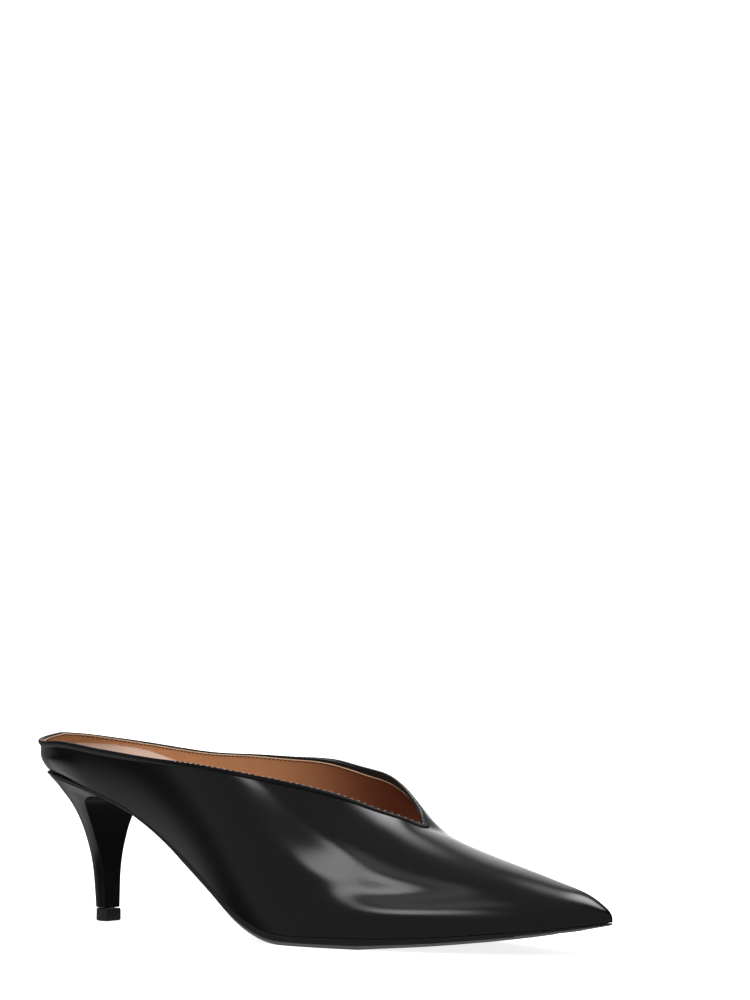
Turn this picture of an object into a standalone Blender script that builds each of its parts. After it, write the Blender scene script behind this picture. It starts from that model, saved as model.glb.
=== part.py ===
"""Right-foot kitten-heel pump with a low back and a V-shaped throat.

Units are metres and +Z is up.  The toe points along -Y, the wearer's medial
side is +X and the lateral side is -X.  The shoe stands on z = 0, on its top
lift and on the flat tread under the ball.  Every piece follows one last: a
ring of sections that runs from the back, along the lateral side to the toe
tip, and back along the medial side.
"""
import math
from collections import namedtuple

import bmesh
import bpy
import numpy as np
from mathutils import Vector

# ---------------------------------------------------------------- driving sizes
LAST_LENGTH = 0.2590      # bottom of the last, from the back of the seat to the toe tip
BALL_WIDTH = 0.0705       # bottom of the last across the ball
SEAT_HEIGHT = 0.0606      # feather line above the floor at the back of the seat
THROAT_HEIGHT = 0.0419    # instep surface above the floor at the point of the V

WALL = 0.0020             # upper leather and lining together
TOE_WALL = 0.0048         # the same with the toe stiffener, at the tip
BINDING_DIAMETER = 0.0021
BINDING_GAP = 0.0006      # the bead is round and the rim has corners, so it stands clear
GAP = 0.0003              # clearance between pieces that touch
INSOLE_THICKNESS = 0.0026
INSOLE_SIDE_GAP = 0.0006
SOLE_EDGE_INSET = 0.0003  # the sole's edge lies just inside the feather line
SOLE_BEVEL = 0.0013       # width of the bevel under the sole's edge
SEAT_SOLE = 0.0014        # sole thickness under the heel seat and the waist
SOLE_BLEND = 0.0300       # length over which the thin seat turns into the shaped underside
SOLE_EDGE = 0.45          # height of the upright part of the sole's edge, from the bevel up

LIFT_HEIGHT = 0.0050
LIFT_BACK = 0.0207        # distances forward of the back of the seat
LIFT_BREAST = 0.0293
LIFT_HALF_WIDTH = 0.0041

# Spine inside the hollow: walls are thickened towards it.
SPINE_BACK = 0.0230
SPINE_FRONT = 0.2430
SPINE_RISE = 0.45         # spine height, as a fraction from feather line to crown

# Mesh resolution
STATIONS_BACK = 30        # sections from the back to the throat, on each side
STATIONS_FRONT = 15       # sections from the throat to the toe tip, on each side
ROWS_UP = 9               # steps up each section
INSOLE_COLUMNS = 6
INSOLE_BLUNT = 2          # stations left off at its toe, which ends about 2 mm wide
HEEL_POINTS = 26          # points round the curved part of a heel section
BREAST_POINTS = 3         # points across its flat breast
LIFT_POINTS = 24
BINDING_STATIONS = 38     # sections along the bead, on each side
BINDING_VEE = 0.0010      # straight run of the bead on each side of the V
BEAD_STEPS = 2            # steps in a quarter turn round the bead
SHARP_EDGE = 40.0         # degrees; flatter edges are shaded smooth
SAME_PLACE = 1e-6         # points closer than this are one point

# Steps for measuring and searching along the last
STEP = 0.0002             # run along the feather line
EDGE_STEP = 0.0004        # run along the topline
CUT_STEP = 0.01           # rise up a section, as a fraction of it
HALVINGS = 40
THROAT_REACH = 0.02       # the throat lies within this run of its own section
SPINE_TRIES = 200

# ---------------------------------------------------------------- the last
# along, crown_along        fractions of LAST_LENGTH
# lateral, medial           half widths of the bottom, fractions of BALL_WIDTH
# bottom                    height of the feather line, fraction of SEAT_HEIGHT
# flare, rise               how far the wall sets off outwards and upwards
#                           (fractions of BALL_WIDTH and THROAT_HEIGHT)
# shoulder_on, shoulder     where the wall turns over into the crown, forwards
#                           and sideways of it (fractions of BALL_WIDTH)
# crown_side, crown_height  the instep ridge (BALL_WIDTH, THROAT_HEIGHT)
# cut_lateral, cut_medial   where the topline cuts the section: 0 is the
#                           feather line and 1 the crown
Section = namedtuple(
    "Section",
    "name along lateral medial bottom flare rise shoulder_on shoulder "
    "crown_along crown_side crown_height cut_lateral cut_medial")

SECTIONS = [
    Section("back",        0.000,  0.000, 0.000, 1.000, 0.099, 0.430, -0.369, 0.000,
            0.093, 0.000, 2.673, 0.246, 0.246),
    Section("back_bend",   0.009,  0.149, 0.149, 1.000, 0.113, 0.430, -0.326, 0.213,
            0.093, 0.000, 2.673, 0.217, 0.236),
    Section("seat_round",  0.033,  0.244, 0.244, 0.990, 0.128, 0.442, -0.199, 0.383,
            0.097, 0.000, 2.673, 0.200, 0.219),
    Section("seat",        0.077,  0.298, 0.295, 0.955, 0.121, 0.453, -0.057, 0.482,
            0.116, 0.000, 2.661, 0.224, 0.219),
    Section("seat_front",  0.147,  0.318, 0.309, 0.878, 0.099, 0.477,  0.000, 0.567,
            0.162, 0.003, 2.637, 0.250, 0.240),
    Section("breast",      0.224,  0.329, 0.318, 0.766, 0.092, 0.525,  0.000, 0.610,
            0.232, 0.007, 2.554, 0.288, 0.282),
    Section("waist",       0.309,  0.355, 0.335, 0.592, 0.092, 0.597,  0.000, 0.624,
            0.313, 0.014, 2.363, 0.366, 0.377),
    Section("instep",      0.387,  0.406, 0.369, 0.406, 0.078, 0.644,  0.000, 0.610,
            0.391, 0.024, 2.160, 0.460, 0.481),
    Section("arch",        0.464,  0.468, 0.440, 0.210, 0.050, 0.668,  0.000, 0.567,
            0.466, 0.045, 1.921, 0.558, 0.604),
    Section("ball_back",   0.542,  0.505, 0.491, 0.078, 0.026, 0.621,  0.000, 0.496,
            0.542, 0.105, 1.654, 0.652, 0.721),
    Section("ball",        0.619,  0.501, 0.495, 0.063, 0.017, 0.501,  0.000, 0.383,
            0.619, 0.175, 1.348, 0.744, 0.872),
    Section("vee",         0.666,  0.472, 0.477, 0.066, 0.015, 0.427,  0.000, 0.311,
            0.666, 0.136, 1.148, 0.850, 0.925),
    Section("throat",      0.697,  0.446, 0.459, 0.068, 0.014, 0.385,  0.000, 0.271,
            0.697, 0.100, 1.035, 1.000, 1.000),
    Section("vamp",        0.793,  0.347, 0.383, 0.087, 0.013, 0.286,  0.000, 0.195,
            0.791, 0.090, 0.802, 1.000, 1.000),
    Section("toe_box",     0.870,  0.238, 0.295, 0.117, 0.011, 0.227,  0.000, 0.142,
            0.865, 0.101, 0.669, 1.000, 1.000),
    Section("toe",         0.936,  0.114, 0.222, 0.145, 0.009, 0.172,  0.000, 0.087,
            0.928, 0.111, 0.556, 1.000, 1.000),
    Section("toe_nose",    0.979, -0.012, 0.172, 0.170, 0.006, 0.110,  0.009, 0.043,
            0.973, 0.118, 0.453, 1.000, 1.000),
    Section("tip",         1.000, -0.124, 0.124, 0.182, 0.004, 0.072,  0.020, 0.000,
            0.990, 0.124, 0.382, 1.000, 1.000),
]

# Underside of the sole, fractions of LAST_LENGTH and SEAT_HEIGHT.  Heights
# below zero are cut off flat: that is the tread that rests on the floor.
Underside = namedtuple("Underside", "along height")
UNDERSIDE = [
    Underside(0.232, 0.712),
    Underside(0.309, 0.541),
    Underside(0.387, 0.343),
    Underside(0.426, 0.244),
    Underside(0.464, 0.141),
    Underside(0.503, 0.060),
    Underside(0.542, 0.010),
    Underside(0.580, -0.003),
    Underside(0.650, -0.010),
    Underside(0.712, 0.008),
    Underside(0.774, 0.029),
    Underside(0.851, 0.063),
    Underside(0.928, 0.107),
    Underside(0.967, 0.136),
    Underside(1.000, 0.162),
]

# Heel sections.  level is the height as a fraction of the seat above; back
# and breast are fractions of LAST_LENGTH, half_width of BALL_WIDTH, and
# fullness is the power of the rounded outline: 2 is an ellipse, more is
# squarer.
HeelSection = namedtuple("HeelSection", "level back breast half_width fullness")
HEEL = [
    HeelSection(0.097, 0.0797, 0.1103, 0.0611, 2.3),
    HeelSection(0.180, 0.0782, 0.1099, 0.0640, 2.3),
    HeelSection(0.275, 0.0761, 0.1092, 0.0678, 2.3),
    HeelSection(0.365, 0.0740, 0.1083, 0.0747, 2.3),
    HeelSection(0.455, 0.0713, 0.1074, 0.0866, 2.3),
    HeelSection(0.545, 0.0671, 0.1064, 0.1060, 2.3),
    HeelSection(0.620, 0.0634, 0.1056, 0.1270, 2.3),
    HeelSection(0.690, 0.0588, 0.1052, 0.1480, 2.35),
    HeelSection(0.760, 0.0527, 0.1054, 0.1740, 2.4),
    HeelSection(0.815, 0.0463, 0.1062, 0.1960, 2.5),
    HeelSection(0.865, 0.0377, 0.1080, 0.2180, 2.6),
    HeelSection(0.910, 0.0282, 0.1130, 0.2410, 2.75),
    HeelSection(0.950, 0.0182, 0.1280, 0.2620, 2.9),
    HeelSection(0.978, 0.0095, 0.1500, 0.2830, 3.0),
    HeelSection(1.000, 0.0037, 0.1780, 0.3020, 3.1),
]

# name: (base colour, roughness)
FINISHES = {
    "box_calf": ((0.012, 0.012, 0.013, 1.0), 0.22),
    "binding_leather": ((0.015, 0.015, 0.016, 1.0), 0.30),
    "insole_leather": ((0.62, 0.41, 0.27, 1.0), 0.55),
    "sole_rubber": ((0.030, 0.030, 0.032, 1.0), 0.55),
    "heel_cover": ((0.014, 0.016, 0.018, 1.0), 0.28),
    "lift_rubber": ((0.020, 0.020, 0.021, 1.0), 0.60),
}


# ---------------------------------------------------------------- curves
def second_derivatives(knots, values, closed):
    """Second derivatives of the cubic spline through values at knots."""
    count = len(knots)
    steps = np.diff(knots)
    matrix = np.zeros((count, count))
    right = np.zeros((count, values.shape[1]))
    for i in range(1, count - 1):
        matrix[i, i - 1] = steps[i - 1]
        matrix[i, i] = 2.0 * (steps[i - 1] + steps[i])
        matrix[i, i + 1] = steps[i]
        after = (values[i + 1] - values[i]) / steps[i]
        before = (values[i] - values[i - 1]) / steps[i - 1]
        right[i] = 6.0 * (after - before)
    matrix[0, 0] = 1.0
    matrix[-1, -1] = 1.0
    if closed:
        matrix[0, -1] = -1.0
        matrix[-1, :] = 0.0
        matrix[-1, 0] = 2.0 * steps[0]
        matrix[-1, 1] = steps[0]
        matrix[-1, -2] = steps[-1]
        matrix[-1, -1] = 2.0 * steps[-1]
        after = (values[1] - values[0]) / steps[0]
        before = (values[-1] - values[-2]) / steps[-1]
        right[-1] = 6.0 * (after - before)
    return np.linalg.solve(matrix, right)


class Spline:
    """Cubic spline through the rows of values, natural or closed."""

    def __init__(self, knots, values, closed=False):
        self.knots = np.asarray(knots, float)
        self.values = np.atleast_2d(np.asarray(values, float).T).T
        self.bends = second_derivatives(self.knots, self.values, closed)

    def __call__(self, place):
        i = int(np.searchsorted(self.knots, place, side="right")) - 1
        i = min(max(i, 0), len(self.knots) - 2)
        step = self.knots[i + 1] - self.knots[i]
        a = (self.knots[i + 1] - place) / step
        b = 1.0 - a
        straight = a * self.values[i] + b * self.values[i + 1]
        bent = (a ** 3 - a) * self.bends[i] + (b ** 3 - b) * self.bends[i + 1]
        return straight + bent * step * step / 6.0


def last_row(section, side):
    """One section as (x, y, z) values in metres; side is -1 lateral, +1 medial."""
    half = section.medial if side > 0 else section.lateral
    return [
        side * half * BALL_WIDTH,
        -section.along * LAST_LENGTH,
        section.bottom * SEAT_HEIGHT,
        section.flare * BALL_WIDTH,
        section.rise * THROAT_HEIGHT,
        -section.shoulder_on * BALL_WIDTH,
        side * section.shoulder * BALL_WIDTH,
        section.crown_side * BALL_WIDTH,
        -section.crown_along * LAST_LENGTH,
        section.crown_height * THROAT_HEIGHT,
    ]


class Last:
    """The ring of sections: place 0 is the back, `tip` the toe, and 2 tip the back again."""

    def __init__(self):
        lateral = [last_row(section, -1.0) for section in SECTIONS]
        medial = [last_row(section, 1.0) for section in SECTIONS]
        ring = np.array(lateral + medial[-2::-1])
        chords = np.linalg.norm(np.diff(ring[:, :3], axis=0), axis=1)
        chords = 0.5 * (chords + chords[::-1])
        knots = np.concatenate([[0.0], np.cumsum(chords)])
        count = len(SECTIONS)
        self.knots = knots[:count]
        self.tip = knots[count - 1]
        self.ring = Spline(knots, ring, closed=True)
        names = [section.name for section in SECTIONS]
        self.throat_row = names.index("throat")
        self.throat = knots[self.throat_row]
        open_rows = slice(0, self.throat_row + 1)
        cut_knots = self.knots[open_rows]
        self.cuts = {
            -1: Spline(cut_knots, [section.cut_lateral for section in SECTIONS[open_rows]]),
            1: Spline(cut_knots, [section.cut_medial for section in SECTIONS[open_rows]]),
        }
        self.spine_end = self.find_spine_end()

    def place(self, along, side):
        """Ring place of a station on one side."""
        return along if side < 0 else 2.0 * self.tip - along

    def frame(self, along, side):
        """The four points that shape one wall, from feather line to crown."""
        place = self.place(along, side)
        x, y, z, flare, rise, shoulder_on, shoulder, crown_x, crown_y, crown_z = self.ring(place)
        ahead = self.ring(min(place + STEP, 2.0 * self.tip))[:2]
        behind = self.ring(max(place - STEP, 0.0))[:2]
        if along < STEP:
            outward = np.array([0.0, 1.0])
        else:
            run = ahead - behind
            outward = np.array([run[1], -run[0]]) / np.linalg.norm(run)
        feather = np.array([x, y, z])
        wall = feather + np.array([outward[0] * flare, outward[1] * flare, rise])
        crown = np.array([crown_x, crown_y, crown_z])
        here = min(along, self.tip - STEP)
        near_tip = self.ring(here)[8:]
        before = self.ring(max(here - STEP, 0.0))[8:]
        run = near_tip[0] - before[0]
        slope = (near_tip[1] - before[1]) / run if along > self.throat else 0.0
        turn = crown + np.array([shoulder, shoulder_on, shoulder_on * slope])
        return feather, wall, turn, crown

    def point(self, along, side, up):
        """Point on the outside of the upper; up is 0 at the feather line, 1 at the crown."""
        feather, wall, turn, crown = self.frame(along, side)
        down = 1.0 - up
        return (feather * down ** 3 + 3.0 * wall * up * down ** 2
                + 3.0 * turn * up ** 2 * down + crown * up ** 3)

    def inner_point(self, along, side, up):
        """The same point carried inwards by the thickness of the wall."""
        outer = self.point(along, side, up)
        lateral = self.ring(self.place(along, -1))[:3]
        medial = self.ring(self.place(along, 1))[:3]
        crown = self.frame(along, side)[3]
        spine_y = -min(max(-lateral[1], SPINE_BACK), SPINE_FRONT)
        spine_x = 0.5 * (lateral[0] + medial[0])
        if -lateral[1] > SPINE_FRONT:
            spine_x = self.spine_end
        spine_z = lateral[2] + SPINE_RISE * (crown[2] - lateral[2])
        target = np.array([spine_x, spine_y, min(outer[2], spine_z)])
        inward = target - outer
        toe = max(0.0, (along - self.throat) / (self.tip - self.throat))
        thickness = WALL + (TOE_WALL - WALL) * toe ** 4
        return outer + inward * thickness / np.linalg.norm(inward)

    def find_spine_end(self):
        """Sideways place of the spine's front end."""
        middle = 0.0
        for along in np.linspace(self.throat, self.tip, SPINE_TRIES):
            lateral = self.ring(self.place(along, -1))[:2]
            medial = self.ring(self.place(along, 1))[:2]
            middle = 0.5 * (lateral[0] + medial[0])
            if -lateral[1] >= SPINE_FRONT:
                break
        return middle

    def edge(self, along, side, drop):
        """Height fraction of a line that runs `drop` below the topline."""
        place = min(along, self.throat)
        cut = self.cuts[side](place)[0]
        slope = 0.0
        if place > EDGE_STEP:
            slope = (cut - self.cuts[side](place - EDGE_STEP)[0]) / EDGE_STEP
        if along > self.throat:
            cut += slope * (along - self.throat)
        low = self.point(place, side, cut - CUT_STEP)
        high = self.point(place, side, cut)
        climb = np.linalg.norm(high - low) / CUT_STEP
        lean = math.sqrt(1.0 + (slope * climb) ** 2)
        return cut - drop * lean / climb

    def throat_at(self, drop):
        """Station where a line `drop` below the topline reaches the crown."""
        low = self.throat
        high = self.throat + THROAT_REACH
        for _ in range(HALVINGS):
            middle = 0.5 * (low + high)
            reach = 0.5 * (self.edge(middle, -1, drop) + self.edge(middle, 1, drop))
            if reach < 1.0:
                low = middle
            else:
                high = middle
        return 0.5 * (low + high)


# ---------------------------------------------------------------- mesh helpers
def new_object(name, mesh, finish, collection):
    """Link a mesh as an object with its own material."""
    colour, roughness = FINISHES[finish]
    material = bpy.data.materials.new(name + "_" + finish)
    material.use_nodes = True
    shader = material.node_tree.nodes["Principled BSDF"]
    shader.inputs["Base Color"].default_value = colour
    shader.inputs["Roughness"].default_value = roughness
    mesh.materials.append(material)
    piece = bpy.data.objects.new(name, mesh)
    collection.objects.link(piece)
    return piece


def distinct(corners):
    """The corners of a face with each one named once."""
    return tuple(dict.fromkeys(corners))


def closed_mesh(name, vertices, faces):
    """Mesh from points and faces, with its faces turned outwards."""
    shape = bmesh.new()
    made = [shape.verts.new(point) for point in vertices]
    for face in faces:
        shape.faces.new([made[index] for index in distinct(face)])
    bmesh.ops.recalc_face_normals(shape, faces=shape.faces[:])
    if shape.calc_volume(signed=True) < 0.0:
        bmesh.ops.reverse_faces(shape, faces=shape.faces[:])
    bmesh.ops.triangulate(shape, faces=shape.faces[:])
    mesh = bpy.data.meshes.new(name)
    shape.to_mesh(mesh)
    shape.free()
    mesh.shade_smooth()
    mesh.set_sharp_from_angle(angle=math.radians(SHARP_EDGE))
    return mesh


def bridge(first, second):
    """Quads between two closed rows of vertex numbers."""
    count = len(first)
    faces = []
    for i in range(count):
        j = (i + 1) % count
        faces.append((first[i], first[j], second[j], second[i]))
    return faces


def loft(rings):
    """Points and faces of a skin through closed rings of equal length, its first end closed."""
    count = len(rings[0])
    vertices = [point for ring in rings for point in ring]
    rows = [list(range(k * count, (k + 1) * count)) for k in range(len(rings))]
    faces = [tuple(rows[0])]
    for below, above in zip(rows, rows[1:]):
        faces += bridge(below, above)
    return vertices, faces


def stations(last, throat):
    """Stations from back to tip, with one exactly at the throat."""
    back = list(np.linspace(0.0, throat, STATIONS_BACK))
    front = [throat + (last.tip - throat) * math.sin(0.5 * math.pi * k / (STATIONS_FRONT - 1))
             for k in range(STATIONS_FRONT)]
    return back + front[1:]


# ---------------------------------------------------------------- pieces
def build_upper(last, collection):
    """Hollow leather upper, open at the collar and underneath."""
    drop = BINDING_DIAMETER + BINDING_GAP
    throat = last.throat_at(drop)
    alongs = stations(last, throat)
    throat_index = STATIONS_BACK - 1
    final = len(alongs) - 1
    vertices = []
    numbers = {}

    def vertex(skin, side, i, j):
        on_middle = i in (0, final) or (i >= throat_index and j == ROWS_UP)
        key = (skin, -1 if on_middle else side, i, j)
        if key not in numbers:
            limit = 1.0 if i >= throat_index else last.edge(alongs[i], side, drop)
            place = skin(alongs[i], key[1], limit * j / ROWS_UP)
            numbers[key] = len(vertices)
            vertices.append(place)
        return numbers[key]

    faces = []
    for skin in (last.point, last.inner_point):
        for side in (-1, 1):
            for i in range(final):
                for j in range(ROWS_UP):
                    faces.append((vertex(skin, side, i, j), vertex(skin, side, i + 1, j),
                                  vertex(skin, side, i + 1, j + 1), vertex(skin, side, i, j + 1)))
    for side in (-1, 1):
        for i in range(final):
            faces.append((vertex(last.point, side, i, 0), vertex(last.point, side, i + 1, 0),
                          vertex(last.inner_point, side, i + 1, 0),
                          vertex(last.inner_point, side, i, 0)))
        for i in range(throat_index):
            faces.append((vertex(last.point, side, i, ROWS_UP),
                          vertex(last.point, side, i + 1, ROWS_UP),
                          vertex(last.inner_point, side, i + 1, ROWS_UP),
                          vertex(last.inner_point, side, i, ROWS_UP)))
    mesh = closed_mesh("upper", vertices, faces)
    return new_object("upper", mesh, "box_calf", collection)


def build_binding(last, collection):
    """Rolled leather binding: a bead that follows the topline."""
    radius = 0.5 * BINDING_DIAMETER
    throat = last.throat_at(radius)
    alongs = list(np.linspace(0.0, throat - BINDING_VEE, BINDING_STATIONS))
    path = []
    for side, order in ((-1, alongs), (1, alongs[:0:-1])):
        for along in order:
            up = min(last.edge(along, side, radius), 1.0)
            outer = last.point(along, side, up)
            inner = last.inner_point(along, side, up)
            path.append(0.5 * (outer + inner))
        if side < 0:
            path.append(0.5 * (last.point(throat, -1, 1.0) + last.inner_point(throat, -1, 1.0)))
    curve = bpy.data.curves.new("topline_binding", "CURVE")
    curve.dimensions = "3D"
    curve.bevel_depth = radius
    curve.bevel_resolution = BEAD_STEPS
    curve.use_fill_caps = False
    spline = curve.splines.new("POLY")
    spline.points.add(len(path) - 1)
    for point, place in zip(spline.points, path):
        point.co = (*place, 1.0)
    spline.use_cyclic_u = True
    guide = bpy.data.objects.new("binding_guide", curve)
    collection.objects.link(guide)
    graph = bpy.context.evaluated_depsgraph_get()
    mesh = bpy.data.meshes.new_from_object(guide.evaluated_get(graph))
    mesh.materials.clear()
    bpy.data.objects.remove(guide)
    mesh.name = "topline_binding"
    return new_object("topline_binding", mesh, "binding_leather", collection)


def build_insole(last, collection):
    """Insole board with its sock: a sheet across the footbed, made solid upwards."""
    alongs = stations(last, last.throat)[:-INSOLE_BLUNT]
    rows = []
    for along in alongs:
        ends = []
        for side in (-1, 1):
            outer = last.point(along, side, 0.0)
            inner = last.inner_point(along, side, 0.0)
            inward = (inner - outer) / np.linalg.norm(inner - outer)
            ends.append(inner + inward * INSOLE_SIDE_GAP)
        rows.append([ends[0] + (ends[1] - ends[0]) * k / INSOLE_COLUMNS
                     for k in range(INSOLE_COLUMNS + 1)])
    shape = bmesh.new()
    made = []
    for row in rows:
        if np.linalg.norm(row[0] - row[-1]) < SAME_PLACE:
            single = shape.verts.new(row[0])
            made.append([single] * len(row))
        else:
            made.append([shape.verts.new(point) for point in row])
    for behind, ahead in zip(made, made[1:]):
        for k in range(INSOLE_COLUMNS):
            shape.faces.new(distinct((behind[k], behind[k + 1], ahead[k + 1], ahead[k])))
    bmesh.ops.recalc_face_normals(shape, faces=shape.faces[:])
    if sum(face.normal.z for face in shape.faces) < 0.0:
        bmesh.ops.reverse_faces(shape, faces=shape.faces[:])
    mesh = bpy.data.meshes.new("insole")
    shape.to_mesh(mesh)
    shape.free()
    piece = new_object("insole", mesh, "insole_leather", collection)
    thicken = piece.modifiers.new("thickness", "SOLIDIFY")
    thicken.thickness = INSOLE_THICKNESS
    thicken.offset = 1.0
    return piece


def build_outsole(last, collection):
    """Thin full-length sole: seat, waist, and a thicker forepart with its tread."""
    under = Spline([row.along * LAST_LENGTH for row in UNDERSIDE],
                   [row.height * SEAT_HEIGHT for row in UNDERSIDE])
    first = UNDERSIDE[0].along * LAST_LENGTH
    alongs = stations(last, last.throat)
    places = [(along, -1) for along in alongs] + [(along, 1) for along in alongs[-2:0:-1]]
    rings = [[], [], []]
    for along, side in places:
        feather = last.point(along, side, 0.0)
        outward = last.frame(along, side)[1][:2] - feather[:2]
        outward = outward / np.linalg.norm(outward)
        edge = feather[:2] - outward * SOLE_EDGE_INSET
        bevelled = feather[:2] - outward * (SOLE_EDGE_INSET + SOLE_BEVEL)
        top = feather[2] - GAP
        thin = top - SEAT_SOLE
        reach = -feather[1]
        if reach <= first:
            bottom = thin
        else:
            shaped = max(0.0, under(reach)[0])
            share = min(1.0, (reach - first) / SOLE_BLEND)
            bottom = thin + (shaped - thin) * share
        middle = bottom + SOLE_EDGE * (top - bottom)
        rings[0].append((edge[0], edge[1], top))
        rings[1].append((edge[0], edge[1], middle))
        rings[2].append((bevelled[0], bevelled[1], bottom))
    vertices, faces = outsole_skin(rings)
    mesh = closed_mesh("outsole", vertices, faces)
    return new_object("outsole", mesh, "sole_rubber", collection)


def outsole_skin(rings):
    """Side walls of the sole, and rungs across its top and underside."""
    count = len(rings[0])
    half = count // 2
    vertices = [point for ring in rings for point in ring]
    rows = [list(range(k * count, (k + 1) * count)) for k in range(len(rings))]
    faces = []
    for upper_row, lower_row in zip(rows, rows[1:]):
        faces += bridge(upper_row, lower_row)
    for row in (rows[0], rows[-1]):
        for i in range(half):
            quad = (row[i], row[i + 1], row[(count - i - 1) % count], row[(count - i) % count])
            faces.append(distinct(quad))
    return vertices, faces


def seat_height(last, reach):
    """Height of the sole's underside above the heel, at a distance from the back."""
    low = 0.0
    high = last.throat
    for _ in range(HALVINGS):
        middle = 0.5 * (low + high)
        if -last.point(middle, -1, 0.0)[1] < reach:
            low = middle
        else:
            high = middle
    return last.point(high, -1, 0.0)[2] - GAP - SEAT_SOLE


def build_heel(last, collection):
    """Covered heel: a lofted D section with a flat breast, flared under the seat."""
    rings = []
    for row in HEEL:
        back = row.back * LAST_LENGTH
        breast = row.breast * LAST_LENGTH
        half_width = row.half_width * BALL_WIDTH
        ring = []
        for k in range(HEEL_POINTS + 1):
            turn = math.pi * (k / HEEL_POINTS - 0.5)
            power = 2.0 / row.fullness
            reach = breast - (breast - back) * abs(math.cos(turn)) ** power
            side = math.copysign(abs(math.sin(turn)) ** power, turn) * half_width
            height = row.level * (seat_height(last, reach) - GAP)
            ring.append((side, -reach, height))
        for k in range(1, BREAST_POINTS + 1):
            side = half_width * (1.0 - 2.0 * k / (BREAST_POINTS + 1))
            height = row.level * (seat_height(last, breast) - GAP)
            ring.append((side, -breast, height))
        rings.append(ring)
    vertices, faces = loft(rings)
    faces += heel_top((len(rings) - 1) * len(rings[0]))
    mesh = closed_mesh("heel", vertices, faces)
    return new_object("heel", mesh, "heel_cover", collection)


def heel_top(start):
    """Rungs across the curved seat face of the heel, whose points are numbered from start."""
    faces = []
    for low in range(HEEL_POINTS // 2):
        high = HEEL_POINTS - low
        rung = distinct((start + low, start + low + 1, start + high - 1, start + high))
        faces.append(rung)
    faces.append(tuple([start] + [start + HEEL_POINTS + k for k in range(BREAST_POINTS, -1, -1)]))
    return faces


def build_top_lift(collection):
    """Rubber top piece under the heel: a flat D outline with real thickness."""
    curve = bpy.data.curves.new("top_lift", "CURVE")
    curve.dimensions = "2D"
    curve.fill_mode = "BOTH"
    curve.extrude = 0.5 * LIFT_HEIGHT
    spline = curve.splines.new("POLY")
    spline.points.add(LIFT_POINTS)
    power = 2.0 / HEEL[0].fullness
    for k in range(LIFT_POINTS + 1):
        turn = math.pi * (k / LIFT_POINTS - 0.5)
        reach = LIFT_BREAST - (LIFT_BREAST - LIFT_BACK) * abs(math.cos(turn)) ** power
        side = math.copysign(abs(math.sin(turn)) ** power, turn) * LIFT_HALF_WIDTH
        spline.points[k].co = (side, -reach, 0.0, 1.0)
    spline.use_cyclic_u = True
    guide = bpy.data.objects.new("lift_guide", curve)
    collection.objects.link(guide)
    graph = bpy.context.evaluated_depsgraph_get()
    mesh = bpy.data.meshes.new_from_object(guide.evaluated_get(graph))
    mesh.materials.clear()
    bpy.data.objects.remove(guide)
    shape = bmesh.new()
    shape.from_mesh(mesh)
    bmesh.ops.remove_doubles(shape, verts=shape.verts[:], dist=SAME_PLACE)
    bmesh.ops.translate(shape, verts=shape.verts[:], vec=Vector((0.0, 0.0, 0.5 * LIFT_HEIGHT)))
    shape.to_mesh(mesh)
    shape.free()
    mesh.name = "top_lift"
    return new_object("top_lift", mesh, "lift_rubber", collection)


def centre_on_floor(pieces):
    """Move every mesh so that the origin is the middle of the shoe's box, on the floor."""
    bpy.context.view_layer.update()
    corners = []
    for piece in pieces:
        corners += [vertex.co for vertex in piece.data.vertices]
    points = np.array([tuple(corner) for corner in corners])
    middle = 0.5 * (points.min(axis=0) + points.max(axis=0))
    shift = Vector((-middle[0], -middle[1], 0.0))
    for piece in pieces:
        for vertex in piece.data.vertices:
            vertex.co += shift


def main():
    for old in list(bpy.data.objects):
        bpy.data.objects.remove(old, do_unlink=True)
    collection = bpy.data.collections.new("kitten_heel_pump")
    bpy.context.scene.collection.children.link(collection)
    last = Last()
    pieces = [
        build_upper(last, collection),
        build_binding(last, collection),
        build_insole(last, collection),
        build_outsole(last, collection),
        build_heel(last, collection),
        build_top_lift(collection),
    ]
    centre_on_floor(pieces)


main()
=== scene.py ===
# %% [markdown]
# # A right-foot kitten-heel pump in black polished calf
#
# This lesson dresses the plain CAD model of a pump shoe. Each piece is rebuilt
# from the same last that shaped the CAD, only finer, and gets the finish of the
# real material. Sizes are in metres, the toe points along -Y, the wearer's
# medial side is +X, and the shoe stands on z = 0.

# %% Load the frame
import math

import bmesh
import bpy
import numpy as np
from mathutils import Matrix, Vector
from mathutils.bvhtree import BVHTree


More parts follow.
